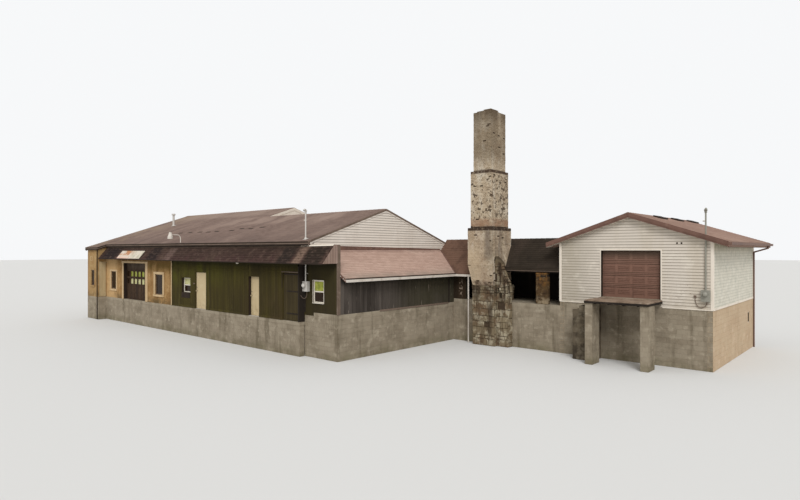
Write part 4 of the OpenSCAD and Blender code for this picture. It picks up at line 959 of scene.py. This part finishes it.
# The dark top strip is the roof's dark fascia; the dark foot strip is the fascia's lower edge and
# painted shade under it.
for part, drop, tall, out, finish in (("top", -0.065, 0.055, 0.03, "dark_trim"),
                                      ("middle", -0.125, 0.06, 0.02, "dull_trim"),
                                      ("foot", -0.195, 0.07, 0.028, "dark_trim")):
    verge, bay = on_main(VERGE_X, EDGE_Y, drop), on_main(VERGE_X, BAY_EAVE_Y, drop)
    strips(f"front_fascia_{part}", [
        (verge, on_main(GABLE_X + 0.02, EDGE_Y, drop), (0, -out, 0), (0, 0, tall)),
        (on_main(ROOF_LEFT, BAY_EAVE_Y, drop), bay, (0, -out, 0), (0, 0, tall)),
        (bay, verge, (out, 0, 0), (0, 0, tall)),
    ], finish, bevel=0.003)
SKIRT_RUN = (SKIRT_TOP - SKIRT_Z) / 0.69


def skirt_at(x, y, out=0.0):
    """A point on the mansard's face at a length and depth, or in front of it."""
    return (x, y - 0.77 * out, SKIRT_Z + (y - SKIRT_Y) * SKIRT_RUN + 0.64 * out)


strips("mansard_top_flashing", [(skirt_at(VERGE_X, 0.03, 0.018), skirt_at(GABLE_X, 0.03, 0.018),
                                 (0, 0.04, 0.048), (0, -0.008, 0.006))], "dull_trim", bevel=0.002)
strips("corner_roof_flashing", [(skirt_at(GABLE_X - 0.6, 0.05, 0.018),
                                 skirt_at(LEAN_X, 0.07, 0.018), (0, 0.05, 0.06),
                                 (0, -0.008, 0.006))], "white_trim", bevel=0.002)
bars("mansard_drip_edge", [((BAY_EDGE, SKIRT_Y - 0.012, SKIRT_Z - 0.035),
                            (LEAN_X, SKIRT_Y + 0.008, SKIRT_Z + 0.015))], "dark_trim")

# Bare board that lies on the mansard's face
BOARD_LOW, BOARD_HIGH = -0.55, -0.14
strips("bare_sign_board", [
    (skirt_at(5.02, BOARD_LOW, 0.03), skirt_at(8.35, BOARD_LOW, 0.03),
     Vector(skirt_at(0, BOARD_HIGH)) - Vector(skirt_at(0, BOARD_LOW)), (0, -0.014, 0.012)),
], "faded_board", bevel=0.005)
strips("sign_board_rails", [
    (skirt_at(x, BOARD_LOW + 0.02, 0.012), skirt_at(x + 0.05, BOARD_LOW + 0.02, 0.012),
     Vector(skirt_at(0, BOARD_HIGH)) - Vector(skirt_at(0, BOARD_LOW + 0.04)), (0, -0.016, 0.014))
    for x in (5.2, 6.1, 7.1, 8.1)
], "dark_timber")

# Verge boards under the roofs' ends, and rakes on the gables
BACK_EAVE = high_of("back_roofs").y
LOW_EAVE = 10.62
for name, x, rise, out, tall, front, ridge, back, finish in (
    ("left_verge_boards", ROOF_LEFT, -0.25, 0.03, 0.07, BAY_EAVE_Y + 0.02, HIGH_RIDGE_Y,
     BACK_EAVE, "brown_trim"),
    ("return_gable_rakes", ROOF_STEP, -0.18, 0.025, 0.17, LOW_RIDGE_Y, HIGH_RIDGE_Y, BACK_EAVE,
     "white_trim"),
    ("end_gable_rakes", GABLE_X, -0.085, 0.035, 0.095, EDGE_Y, LOW_RIDGE_Y, LOW_EAVE, "dull_trim"),
    ("end_gable_frieze", GABLE_X, -0.17, 0.024, 0.085, 0.1, LOW_RIDGE_Y, LOW_EAVE,
     "gable_siding"),
):
    crest = on_main(x, ridge, rise)
    tail = (x, back, main_z(ridge) - (back - ridge) * FRONT_SLOPE + rise)
    strips(name, [(start, end, (out, 0, 0), (0, 0, tall))
                  for start, end in ((on_main(x, front, rise), crest), (crest, tail))], finish)
plate("return_gable_board", [
    (ROOF_STEP, LOW_RIDGE_Y + 0.05, main_z(LOW_RIDGE_Y)),
    on_main(ROOF_STEP, HIGH_RIDGE_Y, -0.03),
    (ROOF_STEP, LOW_EAVE, 2 * main_z(HIGH_RIDGE_Y) - main_z(LOW_EAVE) - 0.03),
    (ROOF_STEP, LOW_EAVE, 2 * main_z(LOW_RIDGE_Y) - main_z(LOW_EAVE)),
], (-0.02, 0, 0), "white_trim")
strips("back_fascias", [
    ((ROOF_LEFT, BACK_EAVE - 0.03, 5.03), (ROOF_STEP, BACK_EAVE - 0.03, 5.03), (0, 0.026, 0),
     (0, 0, -0.05)),
    ((RETURN_X, LOW_EAVE, 5.03), (GABLE_X, LOW_EAVE, 5.03), (0, 0.022, 0), (0, 0, 0.165)),
], "brown_trim")

# Window casings: the opening's lower left corner seen from outside, direction to the right,
# outward, width and height, then the casing's side, head and sill widths
for name, corner, across, outward, width, height, side, head, sill, *finish in (
    ("bay", (0.65, BAY_Y, 2.37), RIGHT, FORWARD, 0.6, 1.11, 0.09, 0.1, 0.09, "bay_stucco"),
    ("tan_left", (2.69, 0, 2.19), RIGHT, FORWARD, 0.86, 1.23, 0.14, 0.12, 0.12),
    ("tan_right", (9.38, 0, 2.13), RIGHT, FORWARD, 1.0, 1.26, 0.17, 0.15, 0.12),
    ("left_end", (0, 6.6, 2.49), FORWARD, LEFTWARD, 0.9, 1.1, 0.1, 0.1, 0.08),
    ("back_one", (4.2, 14.46, 2.49), LEFTWARD, BACKWARD, 0.9, 1.1, 0.1, 0.1, 0.08),
    ("back_two", (10.4, 14.46, 2.49), LEFTWARD, BACKWARD, 0.9, 1.1, 0.1, 0.1, 0.08),
    ("back_three", (19.6, 10.32, 2.49), LEFTWARD, BACKWARD, 0.9, 1.1, 0.1, 0.1, 0.08),
    ("annex_back", (35.875, ANNEX_BACK, 3.69), LEFTWARD, BACKWARD, 0.9, 1.1, 0.09, 0.09, 0.07,
     "frame_paint"),
    ("corner", (24.26, 0.32, 2.5), RIGHT, FORWARD, 0.74, 1.03, 0.012, 0.012, 0.02, "frame_paint"),
):
    corner, across, out = Vector(corner), Vector(across), Vector(outward) * 0.03
    left, right = corner - across * side, corner + across * width
    wide = across * (width + 2 * side)
    strips(name + "_window_casing", [
        (left, left + UP * height, across * side, out),
        (right, right + UP * height, across * side, out),
        (left + UP * height, left + UP * height + wide, UP * head, out * 1.2),
        (left - UP * sill, left - UP * sill + wide, UP * sill, out * 2),
    ], *(finish or ["cream_trim"]))


def reveal(name, left, right, front, foot, head, depth, thick):
    """Dark bars in an overhead doorway's jambs and head: painted shade in the reveal."""
    bars(name, [((left, front, foot), (left + thick, front + depth, head)),
                ((right - thick, front, foot), (right, front + depth, head)),
                ((left, front, head - thick), (right, front + depth, head))], "dark_trim")


def front_overhead_door():
    """The casing, painted shade in the reveal, and painted light seen through the panes of two of
    the glazed rows.
    """
    left, right, foot, head = 4.75, 8.05, MAIN_FLOOR, MAIN_FLOOR + 2.44
    bars("overhead_door_casing", [
        ((left - 0.2, -0.035, foot), (left, 0, head)),
        ((right, -0.035, foot), (right + 0.28, 0, head)),
        ((left - 0.24, -0.045, head), (right + 0.32, 0, head + 0.12)),
    ], "cream_trim")
    reveal("overhead_door_reveal_painted_shade", left, right, 0, foot, head, 0.195, 0.02)
    lowest, row_tall, column, pane, rim = 1.59, 0.488, 0.55, 0.41, 0.07
    for row, finish in ((2, "film_pale"), (3, "film_green")):
        bars(f"overhead_door_pane_light_{row}", [
            ((left + c * column + rim, 0.2415, lowest + row * row_tall + rim),
             (left + c * column + rim + pane, 0.244, lowest + (row + 1) * row_tall - rim))
            for c in (1, 2, 3, 4, 5)], finish, bevel=0.0008)


front_overhead_door()

# Trims of the bay
DOWNSPOUT_X, DOWNSPOUT_Y = BAY_EDGE - 0.03, BAY_Y - 0.06
bars("bay_side_panel", [
    ((BAY_EDGE, BAY_Y + 0.08 + k * 0.108, 1.62), (BAY_EDGE + 0.014, BAY_Y + 0.18 + k * 0.108, 4.08))
    for k in range(4)], "cream_door")
bars("bay_corner_boards", [
    ((BAY_EDGE, BAY_Y, MAIN_FLOOR), (BAY_EDGE + 0.02, BAY_Y + 0.07, 4.2)),
    ((BAY_EDGE - 0.07, BAY_Y - 0.02, MAIN_FLOOR), (BAY_EDGE + 0.02, BAY_Y, 4.88)),
], "bay_stucco")
bars("bay_vent_frame", [((x0, BAY_Y - 0.015, z0), (x1, BAY_Y, z1)) for x0, x1, z0, z1 in (
    (0.5, 0.86, 4.14, 4.17), (0.5, 0.86, 4.41, 4.44), (0.5, 0.53, 4.17, 4.41),
    (0.83, 0.86, 4.17, 4.41))], "cream_trim")
sweep("bay_downspout", [(BAY_EDGE - 0.02, DOWNSPOUT_Y, 4.9),
                        *((DOWNSPOUT_X, DOWNSPOUT_Y, z) for z in (4.5, 2.0, 0.02))], 0.032,
      "dark_trim")

# Single boards, boxes, painted light in panes and painted shade: their reach along x, y and z, the
# finish and another bevel
for name, (x0, x1), (y0, y1), (z0, z1), finish, *bevel in (
    ("tan_wall_corner_board", (TAN_END - 0.09, TAN_END), (-0.022, 0), (MAIN_FLOOR, SKIRT_Z),
     "cream_trim"),
    ("board_wall_joint", (TAN_END + 0.01, 22.3), (-0.026, -0.01), (3.86, 3.9), "dark_boards"),
    ("board_wall_frieze", (TAN_END, BOARD_END), (-0.03, -0.008), (SKIRT_Z - 0.16, SKIRT_Z),
     "dark_boards"),
    ("board_wall_end_board", (BOARD_END - 0.08, BOARD_END), (-0.03, 0), (MAIN_FLOOR, SKIRT_Z),
     "dark_timber"),
    ("board_wall_return", (BOARD_END, BOARD_END + 0.012), (0, 0.3), (MAIN_FLOOR, SKIRT_Z),
     "dark_timber"),
    # A dark sheet on the board window's left jamb and one below its sash: painted shade.
    ("board_window_lining", (12.752, 12.762), (0.004, 0.12), (2.452, 3.278), "dark_trim", 0.002),
    ("board_window_dark_panel", (12.74, 13.72), (-0.024, -0.008), (2.13, 2.445), "dark_trim"),
    # Sheets behind the glass: painted light seen through the panes.
    ("board_window_film", (12.81, 13.69), (0.1635, 0.166), (2.897, 3.23), "film_pale", 0.0008),
    ("corner_window_film", (24.32, 24.94), (0.3735, 0.376), (3.048, 3.47), "film_green", 0.0008),
    # A dark sheet on the second doorway's jamb: painted shade in the reveal.
    ("second_doorway_reveal", (19.585, 19.598), (0.004, 0.135), (MAIN_FLOOR, 3.57), "dark_trim",
     0.001),
    ("wall_lamp", (14.2, 14.3), (-0.08, 0), (2.96, 3.03), "dull_trim", 0.02),
    ("plank_doorway_head", (22.36, 23.6), (-0.04, -0.008), (3.85, 3.89), "dull_trim"),
    # A dark strip beside the plank doorway: painted shadow.
    ("plank_doorway_edge", (22.36, 22.405), (-0.024, -0.008), (3.1, 3.82), "dark_trim"),
    ("corner_wall_left_board", (BOARD_END, BOARD_END + 0.07), (0.29, 0.32), (LEAN_FLOOR, SKIRT_Z),
     "dark_timber"),
    ("lean_to_sill", (LEAN_X, LEAN_X + 0.03), (3.0, 8.35), (LEAN_FLOOR - 0.05, LEAN_FLOOR + 0.03),
     "dull_trim"),
    ("lean_to_end_board", (LEAN_X, LEAN_X + 0.022), (8.35, 8.47), (LEAN_FLOOR, 3.5), "dark_timber"),
    ("end_gable_foot", (GABLE_X, GABLE_X + 0.03), (0.12, 1.2), (SKIRT_TOP, SKIRT_TOP + 0.06),
     "white_trim"),
    ("end_gable_eave_cap", (GABLE_X, GABLE_X + 0.04), (10.3, LOW_EAVE), (4.98, 5.12), "white_trim"),
    ("pier_cap", (30.82, 31.46), (8.965, 9.245), (3.58, 3.7), "dark_timber"),
    ("annex_conduit_box", (38.0, 38.1), (8.82, 8.86), (2.96, 3.05), "dull_trim"),
):
    bars(name, [((x0, y0, z0), (x1, y1, z1))], finish, "building", *bevel)
bars("board_wall_base_board", [
    ((left, -0.024, MAIN_FLOOR), (right, -0.008, MAIN_FLOOR + 0.12))
    for left, right in ((TAN_END + 0.01, 14.33), (15.48, 19.58), (20.51, 22.4))], "dark_boards")
bars("door_thresholds", [((left, 0.0, MAIN_FLOOR), (right, back, MAIN_FLOOR + 0.008))
                         for left, right, back in ((14.35, 15.46, 0.13), (19.6, 20.49, 0.19))],
     "grey_metal", bevel=0.002)
bars("slot_window_bars", [((38.67, 15.68 + k * 0.105, 1.37), (38.69, 15.7 + k * 0.105, 1.82))
                          for k in (1, 2, 3)], "dark_trim")

# What the doors carry
# A dark strip along the plank door's top, under the head: painted shadow.
bars("plank_door_top_painted_shadow", [((22.46, 0.03, 3.74), (23.5, 0.046, 3.8))], "dark_trim",
     "boarded_door")
bars("plank_door_strap", [((22.66, 0.03, z), (23.5, 0.046, z + 0.06)) for z in (2.94, 1.9)],
     "dark_timber", "boarded_door")
LOCK = [(0.03, 0), (0.03, 0.008), (0.024, 0.014), (0.012, 0.018)]
ROSE = [(0.034, 0), (0.034, 0.005), (0.026, 0.01), (0.014, 0.012)]
for body, x, y in (("first_door", 14.355 + 0.07, 0.05), ("second_door", 19.605 + 0.07, 0.145)):
    turned(body + "_lock", (x, y, MAIN_FLOOR + 1.2), LOCK, "steel_pins", body, FORWARD)
    turned(body + "_rose", (x, y, MAIN_FLOOR + 1.0), ROSE, "steel_pins", body, FORWARD)

# Corner room and lean-to
VALLEY_Y = 8.56


def on_lean(x, y, rise):
    """A point above or below the lean-to roof's top."""
    return (x, y, lean_z(x) + rise)


bars("corner_post", [((LEAN_X, 0.31, LEAN_FLOOR), (LEAN_X + 0.03, LEAN_Y, SKIRT_TOP - 0.02)),
                     ((LEAN_X - 0.04, 0.29, LEAN_FLOOR), (LEAN_X + 0.03, 0.32, SKIRT_Z))],
     "dull_trim")
plate("lean_to_flashing", [(GABLE_X, 0.48, 4.9), (GABLE_X, 0.48, 5.12), (GABLE_X, 9.75, 4.96),
                           (GABLE_X, 9.75, 4.9)], (0.022, 0, 0), "brown_trim")
strips("lean_to_drip_edge", [(on_lean(LEAN_EDGE, LEAN_Y, -0.02), on_lean(LEAN_EDGE, VALLEY_Y, -0.02),
                              (0.012, 0, 0), (0, 0, 0.045))], "dark_trim", bevel=0.002)
strips("lean_to_rake", [(on_lean(LEAN_X - 0.05, LEAN_Y, -0.14), on_lean(LEAN_EDGE, LEAN_Y, -0.14),
                         (0, -0.02, 0), (0, 0, 0.13))], "brown_trim")
strips("lean_to_rake_marks", [
    (on_lean(x, LEAN_Y - 0.02, -0.1), on_lean(x + 0.05, LEAN_Y - 0.02, -0.1), (0, -0.005, 0),
     (0, 0, 0.04)) for x in (25.95, 26.12, 26.22)], "white_metal", bevel=0.001)
strips("lean_to_valley", [(on_lean(LEAN_EDGE, VALLEY_Y, 0.01), on_lean(GABLE_X, 9.83, 0.01),
                           (-0.05, -0.07, 0.032), (0, 0, 0.01))], "brown_trim", bevel=0.002)

# Straps across the gutters
for name, node, edge, first, pitch, count, finish in (
    ("lean_to_gutter", "lean_to_gutter", LEAN_EDGE, 0.8, 0.85, 9, "white_metal"),
    ("annex_gutter", "annex_gutters", ANNEX_EDGE, 8.9, 0.95, 10, "brown_metal"),
):
    rim = high_of(node).z
    bars(name + "_straps", [((edge, first + k * pitch, rim - 0.012),
                             (edge + 0.12, first + 0.03 + k * pitch, rim + 0.002))
                            for k in range(count)], finish, bevel=0.001)

# Link shed
for name, z, out, tall, finish, bevel in (("lines", 3.875, 0.022, 0.115, "link_shingles", 0.004),
                                          ("pale_line", 3.85, 0.028, 0.025, "dull_trim", 0.002)):
    strips("link_eave_" + name, [((29.12, LINK_EAVE_Y, z), (ANNEX_X, LINK_EAVE_Y, z), (0, -out, 0),
                                  (0, 0, tall))], finish, bevel=bevel)
strips("link_beside_chimney_flashing", [
    ((29.14, LINK_EAVE_Y, 4.012), (28.8, 10.08, 5.162), (0.16, 0, 0), (0, -0.008, 0.008)),
], "link_shingles", bevel=0.002)

# Annex
FASCIA = 0.15
ROOF_T = 0.21
for side, x_eave in (("left", ANNEX_X - 0.6), ("right", ANNEX_EDGE)):
    foot, crest = (Vector(on_annex(x, ANNEX_FRONT)) for x in (x_eave, ANNEX_MID))
    for part, drop, out, top, finish, bevel in (
        ("rake", FASCIA, -0.03, FASCIA + 0.01, "brown_trim", 0.004),
        ("rake_trim", FASCIA, -0.018, -0.065, "brown_trim", 0.004),
        ("front_soffit", ROOF_T, 0.25, -0.014, "annex_siding", 0.002),
    ):
        strips(f"annex_{side}_{part}", [(foot - UP * drop, crest - UP * drop, (0, out, 0),
                                         UP * top)], finish, bevel=bevel)
for name, x, rise, side, top, finish in (
    ("soffit", ANNEX_RIGHT, -ROOF_T, (0.6, 0, -0.6 * FRONT_SLOPE), -0.014, "white_trim"),
    ("fascia", ANNEX_EDGE, -ROOF_T - 0.02, (-0.03, 0, 0), 0.02, "brown_trim"),
):
    strips("annex_eave_" + name, [(on_annex(x, ANNEX_FRONT, rise), on_annex(x, ANNEX_TAIL, rise),
                                   side, (0, 0, top))], finish, bevel=0.002)
CORNER_TOP = annex_z(ANNEX_X) - ROOF_T - 0.1 + 0.09
corner_boards = []
for x, y, along_x, along_y in ((ANNEX_X, ANNEX_Y, 1, 1), (ANNEX_RIGHT, ANNEX_Y, -1, 1),
                               (ANNEX_X, ANNEX_BACK, 1, -1), (ANNEX_RIGHT, ANNEX_BACK, -1, -1)):
    wide, out = 0.09, 0.026
    corner_boards += [((x - along_x * out, y - along_y * out, SIDING_Z),
                       (x + along_x * wide, y, CORNER_TOP)),
                      ((x - along_x * out, y, SIDING_Z), (x, y + along_y * wide, CORNER_TOP))]
bars("annex_corner_boards", corner_boards, "white_trim")


def annex_front():
    """The siding's foot, the overhead door's casing, painted shade in its reveal, ribs and seams,
    and two vents.
    """
    left, right, foot, head, casing_top, y = 34.14, 36.71, 2.79, 4.88, 4.93, ANNEX_Y
    low, high = SIDING_Z - 0.03, SIDING_Z + 0.01
    bars("annex_siding_foot", [
        ((ANNEX_RIGHT, y, low), (ANNEX_RIGHT + 0.03, ANNEX_BACK, SIDING_Z + 0.05)),
        ((ANNEX_X, y - 0.03, low), (left, y, high)),
        ((right + 0.07, y - 0.03, low), (ANNEX_RIGHT, y, high)),
        ((ANNEX_X, ANNEX_BACK, low), (ANNEX_RIGHT, ANNEX_BACK + 0.03, high)),
    ], "white_trim")
    bars("annex_door_casing", [
        ((left - 0.05, y - 0.03, foot), (left, y, casing_top)),
        ((right, y - 0.03, foot), (right + 0.05, y, casing_top)),
        ((left, y - 0.03, head), (right, y, casing_top)),
    ], "white_trim")
    reveal("annex_door_reveal_painted_shade", left, right, y, foot, head, 0.135, 0.03)
    tall, wide = 2.09 / 4, 2.57 / 4
    ribs = []
    for row in range(4):
        for column in range(4):
            start = left + column * wide + 0.075
            for third in (0.36, 0.5, 0.64):
                z = foot + (row + third) * tall
                ribs.append(((start, y + 0.13, z - 0.012),
                             (start + wide - 0.15, y + 0.142, z + 0.012)))
    bars("annex_door_ribs", ribs, "brown_overhead", bevel=0.003)
    bars("annex_door_seams", [
        ((left + 0.03, y + 0.136, foot + row * tall + drop - 0.008),
         (right - 0.03, y + 0.142, foot + row * tall + drop + 0.008))
        for row in (1, 2, 3) for drop in (-0.07, 0, 0.07)], "dark_trim", bevel=0.002)
    bars("annex_vent_spots", [((x, y - 0.03, 5.15), (x + 0.06, y, 5.22)) for x in (37.33, 37.5)],
         "dark_trim")


annex_front()

# Conduits, meters, masts, vents and lamps
CORNER_MAST_X, CORNER_MAST_Y, ANNEX_MAST_X = 23.84, 0.22, 38.45
sweep("annex_conduit", [(38.05, 8.86, 2.98), (38.05, 8.85, 2.85), (38.1, 8.84, 2.68),
                        (38.2, 8.83, 2.57), (38.33, 8.83, 2.57), (38.45, 8.83, 2.66),
                        (38.5, 8.83, 2.84)], 0.014, "dull_trim")
sweep("corner_conduit", [(23.88, 0.25, 3.02), (23.9, 0.24, 2.86), (23.86, 0.2, 2.7),
                         (23.78, 0.14, 2.68), (23.74, 0.08, 2.74), (23.69, 0.05, 2.82)], 0.012,
      "dull_trim")
DIAL = [(0.1, 0), (0.1, 0.03), (0.085, 0.034), (0.075, 0.06), (0.05, 0.075), (0.012, 0.08)]
INSULATOR = [(0.02, 0), (0.035, 0.02), (0.022, 0.04), (0.035, 0.06), (0.02, 0.08)]
turned("corner_meter_dial", (CORNER_MAST_X, 0.09, 3.28), DIAL, "grey_metal", axis=FORWARD)
turned("annex_meter_dial", (ANNEX_MAST_X, 8.65, 3.12), DIAL, "grey_metal", axis=FORWARD)
for name, x, y, z in (("corner_weatherhead", CORNER_MAST_X, CORNER_MAST_Y, 6.62),
                      ("annex_weatherhead", ANNEX_MAST_X, 8.81, 6.42)):
    sweep(name, [(x, y, z - 0.02), (x, y, z + 0.08), (x + 0.02, y - 0.06, z + 0.13),
                 (x + 0.03, y - 0.13, z + 0.09)], 0.05, "grey_metal")
    turned(name + "_insulator", (x - 0.03, y, z - 0.35), INSULATOR, "white_metal", axis=LEFTWARD)
for name, x, y, radius in (("roof_vent_boot", 3.45, 4.18, 0.075),
                           ("corner_mast_boot", CORNER_MAST_X, CORNER_MAST_Y, 0.035)):
    half, z = radius + 0.07, main_z(y)
    low = z - half * FRONT_SLOPE + 0.016
    strips(name + "_plate", [((x - half, y - half, low), (x + half, y - half, low),
                              (0, 2 * half, 2 * half * FRONT_SLOPE), (0, 0, 0.006))],
           "grey_metal", bevel=0.002)
    turned(name, (x, y, z), [(radius + 0.05, 0.0), (radius + 0.03, 0.05), (radius + 0.008, 0.09)],
           "grey_metal")
turned("soffit_lamp", (19.3, -0.47, SKIRT_Z), [(0.06, 0.01), (0.075, -0.02), (0.07, -0.06),
                                               (0.045, -0.09), (0.01, -0.1)], "white_metal")
turned("lamp_shade", (12.5, -0.58, 5.665), [(0.149, 0.0), (0.14, 0.025), (0.1, 0.12), (0.08, 0.2)],
       "white_metal")


def dock():
    """The timber edges of the dock's slab, and the bearers under it."""
    left, front, low = low_of("dock_slab")
    right, _, high = high_of("dock_slab")
    foot, top = low - 0.03, high - 0.05
    bars("dock_edges", [
        ((left - 0.02, front - 0.025, foot), (right + 0.02, front, top)),
        ((right, front, foot), (right + 0.025, ANNEX_Y - 0.03, top)),
        ((left - 0.025, front, foot), (left, ANNEX_Y - 1.0, top)),
    ], "dark_timber", bevel=0.008)
    bars("dock_bearers", [((left + 0.35 + k * 0.6, front + 0.1, low - 0.07),
                           (left + 0.43 + k * 0.6, ANNEX_Y - 0.02, low)) for k in range(4)],
         "dark_timber")


dock()


# Camera, at the photograph's viewpoint
PHOTO_WIDTH = 800
FOCAL_PIXELS = 567
camera = shown("camera", bpy.data.cameras.new("camera"))
camera.data.sensor_width = 36
camera.data.lens = FOCAL_PIXELS / PHOTO_WIDTH * 36
camera.location = at(44.35, -16.42, 4.90)
camera.rotation_euler = (math.radians(90), 0, math.radians(41.5))
bpy.context.scene.camera = camera


def studio():
    """A pale floor, a soft sun and an even sky that shows white behind the object."""
    bpy.context.scene.view_settings.view_transform = "Standard"
    floor_mesh = bpy.data.meshes.new("floor")
    half = 300
    floor_mesh.from_pydata([(-half, -half, 0), (half, -half, 0), (half, half, 0), (-half, half, 0)],
                           [], [(0, 1, 2, 3)])
    made = Finish("studio_floor", 0.9)
    made.shader.inputs["Base Color"].default_value = (0.7, 0.7, 0.69, 1)
    floor_mesh.materials.append(made.material)
    floor = shown("floor", floor_mesh)
    floor.location.z = -0.002
    sun = shown("sun", bpy.data.lights.new("sun", "SUN"))
    sun.data.energy = 1.9
    sun.data.angle = math.radians(28)
    sun.rotation_euler = Vector((-0.50, 0.56, -0.66)).to_track_quat("-Z", "Y").to_euler()
    world = bpy.data.worlds.new("studio")
    world.use_nodes = True
    bpy.context.scene.world = world
    tree = world.node_tree
    tree.nodes.clear()
    sky, backdrop = (tree.nodes.new("ShaderNodeBackground") for _ in range(2))
    sky.inputs["Color"].default_value = (1.0, 0.99, 0.97, 1)
    sky.inputs["Strength"].default_value = 0.66
    backdrop.inputs["Color"].default_value = (0.93, 0.94, 0.95, 1)
    rays = tree.nodes.new("ShaderNodeLightPath")
    total = rays.outputs["Is Camera Ray"]
    for ray in ("Is Glossy Ray", "Is Transmission Ray"):
        together = tree.nodes.new("ShaderNodeMath")
        together.operation = "MAXIMUM"
        tree.links.new(total, together.inputs[0])
        tree.links.new(rays.outputs[ray], together.inputs[1])
        total = together.outputs[0]
    mix = tree.nodes.new("ShaderNodeMixShader")
    tree.links.new(total, mix.inputs[0])
    tree.links.new(sky.outputs[0], mix.inputs[1])
    tree.links.new(backdrop.outputs[0], mix.inputs[2])
    output = tree.nodes.new("ShaderNodeOutputWorld")
    tree.links.new(mix.outputs[0], output.inputs[0])


studio()
